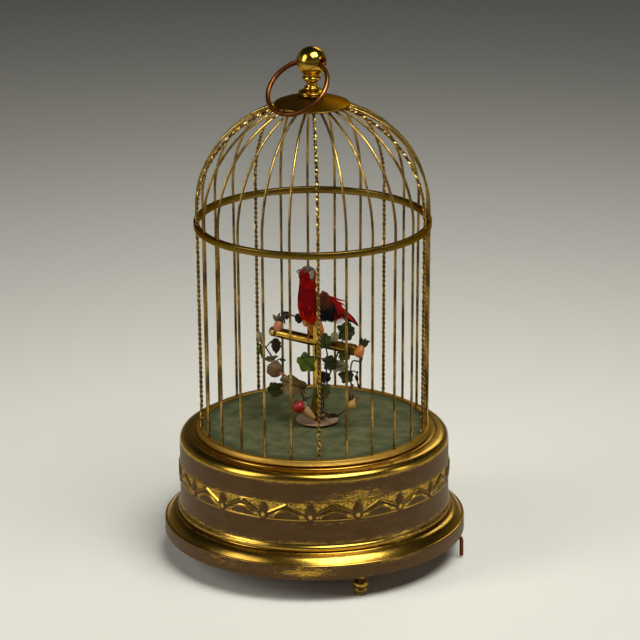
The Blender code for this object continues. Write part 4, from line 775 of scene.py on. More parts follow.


# How bare the drum is, and its rubbed places; the greater bareness round the front of the rim and of the bead
# is a painted highlight
drumBareAndLight = {
    "wall": (0.06, ((0.3, 0, everywhere, 53.2, 1.3), (0.46, 19, 17, 56.8, 3.2), (0.34, 6, 30, 41.2, 1.5),
                    (0.2, -30, 13, 57.5, 2), (0.24, 150, 25, 57, 3), (0.24, -120, 20, 36, 3),
                    (0.5, 0, everywhere, 30.8, 1.2))),
    "rimFoot": 0.36,
    "rim": (0.92, ((0.12, -4, 40, 0, everywhere),)),
    "bead": (0.52, ((0.34, -4, 30, 0, everywhere),)),
}


def drumWearAndLight(x, y, z):
    height = z / mm
    around = frontAngle(x, y)
    _, bare, inside = friezeShape(z, around * degree)
    value = rubbedAndLitPlaces(*drumBareAndLight["wall"], around, height) * (1 - inside) + bare * inside
    foot, start = drumBareAndLight["rimFoot"], drumLook["rimStart"]
    rim = rubbedAndLitPlaces(*drumBareAndLight["rim"], around, height)
    turning = foot + (rim - foot) * smoothStep(start - 0.6, start + 1.2, height)
    value = np.where(height > start - 1, turning, value)
    bead = rubbedAndLitPlaces(*drumBareAndLight["bead"], around, height)
    return np.where(height < drumLook["beadTop"] - 0.4, bead, value)


def makeDrum():
    base, top = nodeLevels("drum")
    look = drumLook
    outer, bead, start, groove = look["radius"], look["bead"], look["rimStart"], look["groove"]
    rimInner = outer - look["rimWidth"]
    rimRound = look["rimRound"]
    lipBase = top - look["lipThickness"]
    outline = [(look["inner"], base), (bead - 0.7, base)]
    outline += arc(bead - 1.2, base + 1.6, 1.2, 1.5, -70, 60, 10)
    outline += [(outer + 0.12, look["beadTop"] - 0.5), (outer, look["beadTop"])]
    outline += [(outer, z) for z in (*look["lowRows"], *np.arange(*look["friezeRows"]), *look["highRows"])]
    outline += arc(outer - rimRound, start, rimRound, look["rimHeight"] - 0.1, 0, 86, 18)
    outline += [(rimInner, start + look["rimHeight"])]
    outline += [(rimInner - 0.25, groove - 0.15), (rimInner - 0.6, groove - 0.15)]
    outline += arc(rimInner - 1.25, groove + 0.25, 0.6, 0.6, 0, 90, 6)
    outline += [(look["lip"], top), (look["lip"], lipBase), (rimInner, lipBase), (look["inner"], start)]
    mesh = turned("drumShell", outline, look["steps"], ring=True, relief=friezeRelief)
    paint(mesh, "wearAndLight", drumWearAndLight)
    addPiece(mesh, "patinatedBrass", stands="drum", sharp=50)


# Plinth, base disc and feet

plinthLook = {"radius": 80, "inner": 66, "rebate": 67.6, "rebateTop": 15.5, "step": 74, "edge": 21.4,
              "round": 0.8, "bulge": 0.75, "slopeRows": 16, "steps": 360}
plinthBareAndLight = {
    "side": (0.1, ((0.52, -2.5, 13, 16.8, 3), (0.25, -38, 12, 17, 3), (0.3, 30, 12, 19.6, 1.6),
                   (0.3, 140, 25, 17, 3), (0.2, 0, everywhere, 20.8, 0.5))),
    # The slope's greater bareness round the front is a painted highlight
    "slope": (0.94, ((0.16, 6, 32, 0, everywhere), (-0.4, 0, everywhere, 25.3, 0.4))),
}


def plinthWearAndLight(x, y, z):
    height = z / mm
    around = frontAngle(x, y)
    side = rubbedAndLitPlaces(*plinthBareAndLight["side"], around, height)
    slope = rubbedAndLitPlaces(*plinthBareAndLight["slope"], around, height)
    return np.where(height > plinthLook["edge"] - 0.3, slope, side)


def makePlinth():
    base, top = nodeLevels("plinth")
    look = plinthLook
    outer, soft, edge = look["radius"], look["round"], look["edge"]
    outline = [(look["rebate"], base)]
    outline += arc(outer - soft, base + soft, soft, soft, -90, 0, 6)
    outline += [(outer, base + 4)]
    outline += arc(outer - soft, edge - soft, soft, soft, 0, 90, 6)
    outline += [(outer - soft - 0.35, edge - 0.12)]
    slopeFoot = np.array([outer - soft - 0.4, edge - 0.05])
    slopeTop = np.array([look["step"] - 0.3, top - 0.35])
    for share in np.linspace(0.03, 1, look["slopeRows"]):
        radius, height = slopeFoot + (slopeTop - slopeFoot) * share
        outline += [(radius, height + look["bulge"] * math.sin(math.pi * share))]
    outline += [(look["step"] - 0.7, top), (look["inner"], top),
                (look["inner"], look["rebateTop"]), (look["rebate"], look["rebateTop"])]
    mesh = turned("plinthMoulding", outline, look["steps"], ring=True)
    paint(mesh, "wearAndLight", plinthWearAndLight)
    addPiece(mesh, "patinatedBrass", stands="plinth", sharp=35)


baseLook = {"round": 0.4, "screws": 4, "firstScrew": 45, "screwCircle": 61, "screwRadius": 2.1,
            "screwStand": 0.5, "slot": 0.45, "slotDepth": 0.1}


def makeBase():
    low, high = nodeBox("base_plate")
    base, top, radius = low.z / mm, high.z / mm, high.x / mm
    look = baseLook
    soft = look["round"]
    outline = [(0, base), (20, base), (45, base)]
    outline += arc(radius - soft, base + soft, soft, soft, -90, 0, 4) + [(radius, top), (0, top)]
    mesh = turned("baseDisc", outline, 240)
    paint(mesh, "wearAndLight", lambda x, y, z: 0.24 + 0.2 * hump(np.hypot(x, y) / mm, 66, 3))
    addPiece(mesh, "patinatedBrass", stands="base_plate")
    reach, stand = look["screwRadius"], look["screwStand"]
    outline = [(0, base), (reach, base)] + arc(0, base, reach, -stand, 0, 88, 5)[1:]
    outline += [(0, base - stand)]
    slotBase = (base - look["slotDepth"]) * mm
    heads = []
    for index in range(look["screws"]):
        angle = (look["firstScrew"] + 360 * index / look["screws"]) * degree
        circle = look["screwCircle"] * mm
        place = (circle * math.cos(angle), circle * math.sin(angle), 0)
        head = turned("screwHead", outline, 24, centre=place)
        for point in head.vertices:
            if abs(point.co.x - place[0]) < look["slot"] * mm and point.co.z < slotBase:
                point.co.z = slotBase
        heads.append(head)
    mesh = paint(joinMeshes("baseScrews", heads), "wearAndLight", 0.7)
    addPiece(mesh, "machinedBrass")


footLook = {
    "steps": 48,
    "profile": ((0, 0), (2.4, 0), (0, 1.5, 3.2, 1.6, -45, 45, 8),
                (3.7, 3.2, 0.6, 0.42, -80, 80, 6), (0, 6.3, 4.3, 2.9, -38, 60, 14), (1.9, 9.3),
                (1.9, 10.6), (2.5, 11.4), (3.3, 12), (3.3, 12.9), (1.5, 12.9), (1.5, 17.3), (0, 17.3)),
}


def makeFeet():
    for number in (1, 2, 3):
        middle = nodeMiddle(f"foot_{number}")
        mesh = turned(f"ballFoot{number}", profile(footLook["profile"]), footLook["steps"],
                      centre=(middle.x, middle.y, 0))
        paint(mesh, "wearAndLight", lambda x, y, z: 0.42 + 0.4 * hump(z / mm, 3.3, 0.5) + 0.25 * hump(z / mm, 7, 2))
        addPiece(mesh, "patinatedBrass", stands=f"foot_{number}")


# Cage floor, felt, bars and band

seatLook = {"low": 62.6, "top": 61.5, "inner": 58.4, "floor": 70.5, "steps": 300}


def makeCageFloor():
    base, top = nodeLevels("cage_floor")
    look = seatLook
    outline = [(0, base), (look["low"] - 0.3, base), (look["low"], base + 0.3), (look["low"], base + 0.7)]
    outline += [(look["low"] - 0.35, base + 0.95)]
    outline += arc(look["top"] - 0.5, top - 0.5, 0.6, 0.5, 10, 90, 6)
    outline += [(look["inner"] + 0.5, top), (look["inner"], top - 0.4), (look["inner"], look["floor"]),
                (0, look["floor"])]
    mesh = turned("seatBand", outline, look["steps"])
    paint(mesh, "wearAndLight", lambda x, y, z: 0.84 - 0.4 * hump(np.hypot(x, y) / mm, look["inner"] + 0.8, 0.9)
          - 0.3 * hump(z / mm, base + 0.9, 0.2))
    addPiece(mesh, "brushedBrass", stands="cage_floor")


feltLook = {"rows": 60, "columns": 220, "wave": 0.12}


def makeFeltFloor():
    low, high = nodeBox("felt_floor")
    radius = high.x
    rng = np.random.default_rng(5)
    share = np.linspace(0, 1, feltLook["rows"]) ** 0.8
    angle = np.linspace(0, fullTurn, feltLook["columns"], endpoint=False)
    lumps = sum(rng.uniform(0.3, 1) * np.sin(k * angle[None, :] + rng.uniform(0, 6)
                + 9 * share[:, None] * rng.uniform(0.5, 1.5)) for k in range(2, 9)) / 7
    ragged = 0.12 * np.sin(41 * angle + rng.uniform(0, 6)) * np.sin(17 * angle)
    reach = share[:, None] * (radius + ragged[None, :] * mm * (share[:, None] > 0.98))
    height = high.z - 0.14 * mm + feltLook["wave"] * mm * lumps * np.minimum(1, 6 * share[:, None])
    height = height - 0.35 * mm * smoothStep(0.985, 1, share[:, None])
    flat = np.stack([reach * np.cos(angle), reach * np.sin(angle), height], -1)
    under = flat[::-1].copy()
    under[..., 2] = low.z
    mesh = cleaned(gridMesh("feltDisc", np.concatenate([flat, under])))
    # The painted amount falls towards the edge, where the rim colour lays painted shade
    paint(mesh, "wearAndLight", lambda x, y, z: 0.95 - 0.75 * smoothStep(0.84, 1, np.hypot(x, y) / radius)
          + 0.1 * np.sin(9 * x / radius))
    felt = addPiece(mesh, "greenFelt", stands="felt_floor")


barLook = {"foot": 60, "spread": 61, "domeBase": 190.2, "domeHeight": 57.7, "hub": 9.2, "straightSteps": 30,
           "domeSteps": 44, "sway": 0.18, "plain": 0.7, "strand": 0.5, "strandOffset": 0.47, "lead": 5.3,
           "sides": 10, "strandSides": 7, "perTurn": 12}


def barLine(foot, sway):
    # The bar's line as (radius, height) in metres: up a straight part, then over the dome
    look = barLook
    last = math.acos(look["hub"] / look["spread"])
    line = []
    for step in range(look["straightSteps"]):
        share = step / look["straightSteps"]
        lean = look["foot"] + (look["spread"] - look["foot"]) * share
        line.append((lean + sway * math.sin(math.pi * share), foot + (look["domeBase"] - foot) * share))
    for angle in np.linspace(0, last, look["domeSteps"]):
        line.append((look["spread"] * math.cos(angle),
                     look["domeBase"] + look["domeHeight"] * math.sin(angle)))
    return np.array(line) * mm


def strandMesh(name, line, phase):
    # One strand of a twisted bar, wound round the bar's line
    steps = np.diff(line, axis=0)
    run = np.concatenate([[0], np.cumsum(np.hypot(steps[:, 0], steps[:, 1]))])
    count = int(run[-1] / (barLook["lead"] * mm) * barLook["perTurn"])
    at = np.linspace(0, run[-1], count)
    radius, height = np.interp(at, run, line[:, 0]), np.interp(at, run, line[:, 1])
    slope = np.arctan2(np.gradient(height), np.gradient(radius))
    angle = phase + fullTurn * at / (barLook["lead"] * mm)
    offset = barLook["strandOffset"] * mm
    inwards = offset * np.cos(angle)
    points = [Vector((radius[i] - inwards[i] * math.sin(slope[i]), offset * math.sin(angle[i]),
                      height[i] + inwards[i] * math.cos(slope[i]))) for i in range(count)]
    return tubeMesh(name, points, barLook["strand"] * mm, barLook["strandSides"])


def barAngle(node):
    middle = nodeMiddle(node)
    return math.atan2(middle.y, middle.x)


def fromLine(x, y, z, angle, line):
    # Each point's distance from the bar's line, so that the gaps between two strands stay dark with patina
    # and painted shade
    out, aside = x * math.cos(angle) + y * math.sin(angle), y * math.cos(angle) - x * math.sin(angle)
    places, starts, steps = np.stack([out, z], -1)[:, None], line[None, :-1], np.diff(line, axis=0)[None]
    share = np.clip(((places - starts) * steps).sum(-1) / (steps ** 2).sum(-1), 0, 1)
    away = np.linalg.norm(places - starts - share[..., None] * steps, axis=-1).min(1)
    return np.hypot(away, aside)


# How bare each kind of bar is, how much more so over the dome, and how much less between two strands, where
# the patina is kept and painted shade lies
barBareAndShade = {"plain": 0.44, "twisted": 0.62, "dome": 0.12, "drift": 0.12, "between": 0.6, "gap": (0.45, 0.8)}


def makeBars():
    rng = random.Random(12)
    for node in sorted(n for n in frame["nodes"] if n.startswith(("cage_bar_", "twisted_bar_"))):
        line = barLine(nodeLevels(node)[0], rng.uniform(-barLook["sway"], barLook["sway"]))
        shift = rng.uniform(0, fullTurn)
        angle = barAngle(node)
        if node.startswith("cage_bar_"):
            points = [Vector((r, 0, z)) for r, z in line]
            mesh = tubeMesh(node.replace("cage_bar_", "plainBar"), points, barLook["plain"] * mm,
                            barLook["sides"])
            slot, base, between = "cage_wire", barBareAndShade["plain"], 0
        else:
            mesh = joinMeshes(node.replace("twisted_bar_", "twistedBar"),
                              [strandMesh("strand", line, phase) for phase in (shift, shift + math.pi)])
            slot, base, between = "twisted_wire", barBareAndShade["twisted"], barBareAndShade["between"]
        mesh.transform(Matrix.Rotation(angle, 4, "Z"))

        def rubbedAndLit(x, y, z):
            value = base + barBareAndShade["dome"] * smoothStep(150, 215, z / mm)
            value = value + barBareAndShade["drift"] * np.sin(z / mm * 0.21 + shift)
            outwards = fromLine(x, y, z, angle, line) / mm
            return value - between * (1 - smoothStep(*barBareAndShade["gap"], outwards))

        paint(mesh, "wearAndLight", rubbedAndLit)
        addPiece(mesh, "barWire", stands=node)


bandLook = {"thickness": 2.8, "round": 0.35, "steps": 300}


def makeBand():
    low, high = nodeBox("middle_band")
    outer = high.x / mm
    inner = outer - bandLook["thickness"]
    soft = bandLook["round"]
    base, top = low.z / mm, high.z / mm
    outline = []
    for radius, height, start in ((outer - soft, base + soft, -90), (outer - soft, top - soft, 0),
                                  (inner + soft, top - soft, 90), (inner + soft, base + soft, 180)):
        outline += arc(radius, height, soft, soft, start, start + 90, 3)
    mesh = turned("hoopBand", outline, bandLook["steps"], ring=True)
    paint(mesh, "wearAndLight", lambda x, y, z: 0.84 + 0.2 * hump(z / mm, top, 0.5) + 0.2 * hump(z / mm, base, 0.4))
    addPiece(mesh, "satinBrass", stands="middle_band")


# Crown cap, finial and hanging ring

capLook = {"radius": 19.8, "hub": 8.9, "bore": 2, "thickness": 1, "crown": 1, "outset": 1.25, "edge": 0.4,
           "steps": 160}


def underCap(radius):  # the dome's height there, with the cap's room over the bars
    reach = barLook["spread"] + capLook["outset"]
    rise = barLook["domeHeight"] + capLook["outset"]
    return barLook["domeBase"] + rise * math.sqrt(1 - (radius / reach) ** 2)


def makeCap():
    base, top = nodeLevels("crown_cap")
    look = capLook
    bore, edge = look["bore"], look["radius"] - look["edge"]
    over = [bore + (edge - bore) * share for share in np.linspace(0, 1, 14)]
    outline = [(r, underCap(r) + look["thickness"] + look["crown"] * (1 - (r / look["radius"]) ** 2))
               for r in over]
    outline += arc(edge, underCap(look["radius"]) + 0.55, look["edge"], 0.45, 80, -60, 6)
    outline += [(r, underCap(r)) for r in (look["radius"] - 0.6, 15, 12, look["hub"])]
    outline += [(look["hub"], base), (bore, base)]
    mesh = turned("crownDisc", [(r, min(z, top)) for r, z in outline], look["steps"], ring=True)

    def rubbedAndLit(x, y, z):
        away = np.hypot(x, y) / mm
        # The greater bareness round to the right of the front is a painted reflection
        middle = 0.34 + 0.16 * hump(frontAngle(x, y), 60, 55)
        return middle + 0.3 * hump(away, 19.6, 0.5) + 0.2 * hump(away, 8, 1.2)

    paint(mesh, "wearAndLight", rubbedAndLit)
    addPiece(mesh, "satinBrass", stands="crown_cap")


ringSwing = findJoint("ring_swing")
ballCentre = Vector(ringSwing["pos_m"])
ringAxis = -Vector(ringSwing["axis"]).normalized()
finialLook = {
    "stud": 1.7, "ball": 7.8, "seat": 0.3, "steps": 120, "holeSteps": 32,
    "neck": ((6.2, 0), (5.9, 0.55, 0.55, 0.5, -80, 80, 6), (5.9, 1.2),
             (6.4, 1.75, 0.65, 0.45, -70, 70, 6), (5.6, 2.45), (4.8, 2.75), (3.5, 2.85),
             (2.8, 3.95, 1.3, 1.05, -70, 70, 8), (3, 5.25), (2.85, 6.1), (3.05, 7.2), (3.4, 7.7),
             (3.5, 9.15, 1.4, 1.35, -75, 75, 10), (4.3, 10.75), (4.4, 11.2), (5.1, 11.5), (5.7, 12.1),
             (6, 12.8)),
    "bare": (0.8, ((-0.4, 0, everywhere, 1.2, 0.3), (-0.4, 0, everywhere, 2.9, 0.3),
                   (-0.3, 0, everywhere, 7.4, 0.5), (-0.3, 0, everywhere, 11.1, 0.4))),
}
ringLook = {"wire": 1.25, "mean": 16.8, "lean": 47, "room": 0.45, "steps": 160, "sides": 18,
            "seamDepth": 0.22, "seamHalf": 0.9}


def ringHang():
    level = ringAxis.cross(up)
    lean = ringLook["lean"] * degree
    forward = level if level.y < 0 else -level
    return (forward * math.sin(lean) - up * math.cos(lean)).normalized()


def makeFinial():
    base = nodeLevels("finial")[0]
    foot = nodeLevels("crown_cap")[1] + finialLook["seat"]
    ball = ballCentre.z / mm
    reach, stud = finialLook["ball"], finialLook["stud"]
    outline = [(0, base), (stud, base), (stud, foot)] + profile(finialLook["neck"], foot)
    outline += arc(0, ball, reach, reach, -41, 90, 26)
    outline[-1] = (0, ball + reach)
    finial = newObject("uncutFinial", turned("uncutFinial", outline, finialLook["steps"]))
    # The hole widens to both ends, so that the ring can swing in it
    mean, room = ringLook["mean"], ringLook["wire"] + ringLook["room"]
    half = []
    for share in (1, 0.75, 0.5, 0.25, 0):
        along = (reach + 1) * share
        half.append((room + mean - math.sqrt(mean ** 2 - along ** 2), along))
    outline = [(0, half[0][1])] + half + [(r, -z) for r, z in reversed(half[:-1])] + [(0, -half[0][1])]
    drill = turned("crossHole", outline, finialLook["holeSteps"])
    drill.transform(Matrix.Translation(ballCentre) @ ringAxis.to_track_quat("Z", "Y").to_matrix().to_4x4())
    tool = newObject("crossHole", drill)
    cut = finial.modifiers.new("crossHole", "BOOLEAN")
    cut.operation = "DIFFERENCE"
    cut.solver = "EXACT"
    cut.object = tool
    bpy.context.view_layer.update()
    result = bpy.data.meshes.new_from_object(finial.evaluated_get(bpy.context.evaluated_depsgraph_get()))
    bpy.data.objects.remove(finial)
    bpy.data.objects.remove(tool)
    result.name = "ballFinial"
    paint(result, "wearAndLight", lambda x, y, z: rubbedAndLitPlaces(*finialLook["bare"], 0, z / mm - foot))
    addPiece(result, "gildedBrass", stands="finial")


def makeRing():
    look = ringLook
    hang = ringHang()
    centre = ballCentre + hang * look["mean"] * mm
    normal = ringAxis.cross(hang)
    rows = []
    for step in range(look["steps"]):
        angle = fullTurn * step / look["steps"]
        outwards = ringAxis * math.sin(angle) + hang * math.cos(angle)
        fromSeam = math.degrees(min(angle, fullTurn - angle))
        wire = look["wire"] * mm * (1 - look["seamDepth"] * math.exp(-((fromSeam / look["seamHalf"]) ** 2)))
        place = centre + outwards * look["mean"] * mm
        rows.append(ringPoints(place, outwards * wire, normal * wire, look["sides"]))
    mesh = cleaned(gridMesh("hangingHoop", np.array(rows), loopRows=True))
    paint(mesh, "wearAndLight", lambda x, y, z: 0.3 + 0.14 * np.sin(180 * x))
    addPiece(mesh, "ringCopper", body="ring", stands="hanging_ring")


# Perch and its stand

perchLook = {
    "radius": 2.7, "left": 31, "right": 26, "turn": -37, "bore": 0.95, "post": 2.3, "sides": 36,
    "standRadius": 11.3, "standThickness": 1.6, "cardThickness": 0.8, "cardBack": 1, "footRadius": 7.6,
    "leftEnd": ((0, 0), (0, 0.3), (0.25, 0.62), (0.8, 0.86), (1.6, 0.98), (2.4, 1)),
    "ribs": 4, "ribStart": 5.4, "ribPitch": 1.1,
    "rib": ((0, 0.95), (0.2, 1.1), (0.55, 1.15), (0.9, 1.1), (1.05, 0.95)),
}
perchMiddle = Vector((1.8 * mm, 0, nodeMiddle("perch_bar").z))
perchLine = Vector((math.cos(perchLook["turn"] * degree), math.sin(perchLook["turn"] * degree), 0))


def alongPerch(distance):
    return perchMiddle + perchLine * distance * mm


def makePerch():
    look = perchLook
    base, top = nodeLevels("perch_post")
    stand, foot, post, bore = look["standRadius"], look["footRadius"], look["post"], look["bore"]
    cardTop = base + look["standThickness"]
    cardBase = cardTop - look["cardThickness"]
    outline = [(0, base), (foot - 0.4, base), (foot, base + 0.4), (foot, cardBase), (stand - 0.5, cardBase)]
    outline += arc(stand - 0.4, cardTop - 0.4, 0.4, 0.4, -85, 85, 6)
    outline += [(stand - 1.4, cardTop - 0.05), (6, cardTop - 0.1), (2, cardTop), (0, cardTop)]
    mesh = turned("standDisc", outline, 96, (perchMiddle.x, look["cardBack"] * mm, 0))
    addPiece(mesh, "standCard", stands="perch_post")
    outline = [(bore, cardTop - 0.4), (2.9, cardTop - 0.4), (2.9, cardTop + 0.3)]
    outline += arc(2.6, cardTop + 0.6, 0.3, 0.3, -60, 90, 5)
    outline += [(post, cardTop + 1.1), (post, top - 1.3)]
    outline += arc(post - 0.15, top - 0.6, 0.35, 0.6, -80, 90, 6)
    outline += [(bore, top)]
    mesh = turned("perchPost", outline, 40, (perchMiddle.x, 0, 0), ring=True)
    # Barer on the post's left side and darker on its right: painted light from the left
    paint(mesh, "wearAndLight", lambda x, y, z: 0.62 - 0.22 * np.clip((x - perchMiddle.x) / (post * mm), -1, 1))
    addPiece(mesh, "gildedBrass")
    # Stations along the rod: distance to the right of its middle, share of its radius
    stations = [(distance - look["left"], share) for distance, share in look["leftEnd"]]
    stations += [(look["right"] - 5.6, 1)]
    for number in range(look["ribs"]):
        start = look["right"] - look["ribStart"] + look["ribPitch"] * number
        stations += [(start + distance, share) for distance, share in look["rib"]]
    stations += [(look["right"] - 0.8, 0.85), (look["right"], 0.8), (look["right"], 0)]
    side = Vector((-perchLine.y, perchLine.x, 0))
    rings = []
    for distance, share in stations:
        reach = look["radius"] * share * mm
        rings.append(ringPoints(alongPerch(distance), side * reach, up * reach, look["sides"]))
    mesh = cleaned(gridMesh("perchRod", np.array(rings)))

    def rubbedAndLit(x, y, z):
        along = ((x - perchMiddle.x) * perchLine.x + y * perchLine.y) / mm
        rise = (z - perchMiddle.z) / (look["radius"] * mm)
        # The barer band round the rod's middle height is a painted highlight; above and below it the rod
        # stays dark, the underside as painted shade
        worn = 0.3 + 0.48 * hump(rise, 0, 0.42) - 0.22 * smoothStep(2, 12, along)
        return worn - 0.2 * smoothStep(19.5, 21.5, along) + 0.3 * hump(along, -30.5, 1.5)

    paint(mesh, "wearAndLight", rubbedAndLit)
    addPiece(mesh, "gildedBrass", stands="perch_bar")


# Bird: a core under rows of small feathers, with its own head, beak, wings, tail and legs

birdLook = {"heading": 221, "headTurn": -24, "neck": 33.6, "headLift": 4.5, "headRadius": 4.65}
birdHeading = birdLook["heading"] * degree
birdAhead = Vector((math.cos(birdHeading), math.sin(birdHeading), 0))
birdLeft = Vector((-birdAhead.y, birdAhead.x, 0))
headHeading = (birdLook["heading"] + birdLook["headTurn"]) * degree
headAhead = Vector((math.cos(headHeading), math.sin(headHeading), 0))
headLeft = Vector((-headAhead.y, headAhead.x, 0))


def birdPoint(ahead, aside, height):  # millimetres ahead of the post, to the bird's left, above the perch
    return perchMiddle + (birdAhead * ahead + birdLeft * aside + up * height) * mm


headCentre = birdPoint(6.2, 0, birdLook["neck"] + birdLook["headLift"])
featherRows, featherSides = 8, 6


def featherPoints(root, along, normal, length, width, lift=0.1, droop=0.12, thick=0.16, blunt=2.6, sway=0):
    # A flat blade, rounded at its tip, that bends towards the body and sways to one side
    along = along.normalized()
    side = normal.cross(along).normalized()
    above = along.cross(side)
    rings = []
    for row in range(featherRows):
        t = row / (featherRows - 1)
        half = 0.5 * width * max(min(1, 0.4 + 1.6 * t) * (1 - t ** blunt) ** 0.5, 0.03)
        rise = math.sin(lift) * t - droop * t * t
        middle = root + (along * t + above * rise + side * sway * t * t) * length
        ring = []
        for column in range(featherSides):
            angle = fullTurn * column / featherSides
            across = math.cos(angle)
            ring.append(tuple(middle + side * half * across
                              + above * (math.sin(angle) * 0.5 * thick * mm * (1 - t * 0.6)
                                         - 0.28 * half * across * across)))
        rings.append(ring)
    return rings


class Plumage:
    # Gathers feathers into one mesh, with numbers along and across each and its own tint
    def __init__(self):
        self.rings, self.tints = [], []

    def add(self, root, along, normal, length, width, tint, **shape):
        self.rings.append(featherPoints(root, along, normal, length, width, **shape))
        self.tints.append(tint)

    def mesh(self, name):
        points = np.array(self.rings)
        count = len(points)
        each = featherRows * featherSides
        index = np.arange(each).reshape(featherRows, featherSides)
        sides = np.stack([index[:-1], np.roll(index[:-1], -1, 1), np.roll(index[1:], -1, 1), index[1:]], -1)
        faces = []
        for number in range(count):
            faces += (sides.reshape(-1, 4) + number * each).tolist()
            faces += [(index[0][::-1] + number * each).tolist(), (index[-1] + number * each).tolist()]
        mesh = bpy.data.meshes.new(name)
        mesh.from_pydata(points.reshape(-1, 3).tolist(), [], faces)
        cleaned(mesh, merge=False)
        along = np.tile(np.repeat(np.linspace(0, 1, featherRows), featherSides), count)
        across = np.tile(np.cos(fullTurn * np.arange(featherSides) / featherSides), count * featherRows)
        paint(mesh, "along", along)
        paint(mesh, "across", across)
        paint(mesh, "tint", np.repeat(np.array(self.tints), each))
        return mesh


# The body's line: millimetres ahead of the post and above the perch, half height, half width
bodyStations = ((6.2, 33.4, 4.35, 4.35), (6.5, 29.5, 4.6, 4.55), (6.6, 24, 5.1, 5),
                (5, 18.6, 5.65, 5.35), (1, 16.2, 4.75, 5.2), (-4.4, 17, 3.85, 4.25),
                (-9, 17.2, 2.7, 3), (-12, 16.8, 1.6, 1.9))
bodyLook = {"steps": 10, "sides": 36, "featherGap": 1.1, "featherLength": 4.8, "featherWidth": 1.5,
            "featherSpacing": 1.1}


def bodySurface():
    # Places along the body from neck to tail: middle, direction, upwards, half height, half width
    stations = np.array(bodyStations)
    spots = np.linspace(0, len(stations) - 1, (len(stations) - 1) * bodyLook["steps"] + 1)
    line = smoothLine([(a, h, 0) for a, h, _, _ in bodyStations], bodyLook["steps"])
    halfHeight = np.interp(spots, range(len(stations)), stations[:, 2])
    halfWidth = np.interp(spots, range(len(stations)), stations[:, 3])
    rows = []
    for index, point in enumerate(line):
        along = wayAlong(line, index)
        if index == 0:
            along = Vector((0, -1, 0))
        flow = birdAhead * along.x + up * along.y
        thick = birdLeft.cross(flow).normalized()
        centre = birdPoint(point.x, 0, point.y)
        rows.append((centre, flow, thick, halfHeight[index] * mm, halfWidth[index] * mm))
    return rows


def onBody(row, angle):
    centre, flow, thick, halfHeight, halfWidth = row
    place = centre + birdLeft * math.cos(angle) * halfWidth + thick * math.sin(angle) * halfHeight
    normal = (birdLeft * math.cos(angle) / halfWidth + thick * math.sin(angle) / halfHeight).normalized()
    return place, normal, flow


def bodyTint(place):
    # Brightest down the breast, darker on the back, and darker toward the flanks under the wings as painted
    # shade
    offset = place - perchMiddle
    ahead = offset.dot(birdAhead) / mm
    aside = offset.dot(birdLeft) / mm
    height = offset.z / mm
    breast = math.exp(-((height - 19.5) / 8) ** 2) * max(0, min(1, (ahead + 1) / 8))
    shade = 0.66 - 0.8 * breast + 0.06 * abs(aside) / 5
    return max(0, min(1, shade))


def makeBody():
    rng = random.Random(3)
    rows = bodySurface()
    rings = [[tuple(onBody(row, fullTurn * i / bodyLook["sides"])[0]) for i in range(bodyLook["sides"])]
             for row in rows]
    core = cleaned(gridMesh("bodyCore", np.array(rings), capped=True))
    paint(core, "along", 0.5)
    paint(core, "tint", 0.8)
    addPiece(core, "breastFeathers", stands="bird_body")
    plumage = Plumage()
    travelled, last, rowNumber = 0, rows[-1][0], 0
    for row in reversed(rows):
        travelled += (row[0] - last).length / mm
        last = row[0]
        if travelled < bodyLook["featherGap"] * rowNumber:
            continue
        rowNumber += 1
        around = fullTurn * 0.5 * (row[3] + row[4]) / mm
        count = max(12, int(around / bodyLook["featherSpacing"]))
        for number in range(count):
            angle = fullTurn * (number + 0.5 * (rowNumber % 2) + rng.uniform(-0.2, 0.2)) / count
            place, normal, flow = onBody(row, angle)
            size = bodyLook["featherLength"] * rng.uniform(0.85, 1.15)
            sideways = normal.cross(flow) * rng.uniform(-0.16, 0.16)
            tint = bodyTint(place) + rng.uniform(-0.14, 0.14)
            plumage.add(place - normal * 0.3 * mm, flow + sideways, normal, size * mm,
                        bodyLook["featherWidth"] * rng.uniform(0.8, 1.1) * mm, tint,
                        lift=rng.uniform(0.1, 0.22), droop=0.14, thick=0.12, blunt=rng.uniform(1.6, 2.6),
                        sway=rng.uniform(-0.12, 0.12))
    addPiece(plumage.mesh("bodyPlumage"), "breastFeathers")


legLook = {"spread": 3.7, "hip": (3.2, 13.6), "thigh": 1.9, "shank": 0.95, "toe": 0.55, "clear": 0.32}


def makeLegs():
    meshes = []
    reach = perchLook["radius"] + legLook["clear"] + legLook["toe"]
    across = perchLine.cross(up)
    for side in (-1, 1):
        hip = birdPoint(legLook["hip"][0], side * 0.8 * legLook["spread"], legLook["hip"][1])
        foot = alongPerch(side * legLook["spread"])
        ankle = foot + up * reach * mm
        shin = smoothLine([hip, hip.lerp(ankle, 0.45) + birdAhead * -0.5 * mm, ankle + up * 0.2 * mm], 8)
        widths = []
        for i in range(len(shin)):
            slim = float(smoothStep(0.62, 0.94, i / (len(shin) - 1)))
            widths.append((legLook["thigh"] + (legLook["shank"] - legLook["thigh"]) * slim)
                          * (1 + 0.04 * math.sin(i * 2.4)) * mm)
        meshes.append(tubeMesh("shin", shin, widths, 14))
        for spread, back in ((-0.75, False), (0, False), (0.75, False), (0, True)):
            claw = []
            for step in range(11):
                turn = (0 if step == 0 else 1) * (4 + step * 9.5) * degree * (-1 if back else 1)
                slip = perchLine * spread * step * 0.22
                claw.append(foot + ((up * math.cos(turn) - across * math.sin(turn)) * reach + slip) * mm)
            toe = [legLook["toe"] * (1 - 0.075 * step) * (1 + 0.08 * math.cos(step * 2.1)) * mm
                   for step in range(11)]
            meshes.append(tubeMesh("toe", claw, toe, 10))
    addPiece(joinMeshes("birdLegs", meshes), "legOrange")


headLook = {"sides": 40, "neckRadius": 4.5, "gap": 0.3, "inset": 0.15, "rowStep": 7, "eyeTurn": 60,
            "eyeRise": 31, "eyeRadius": 0.5, "billSides": 14}
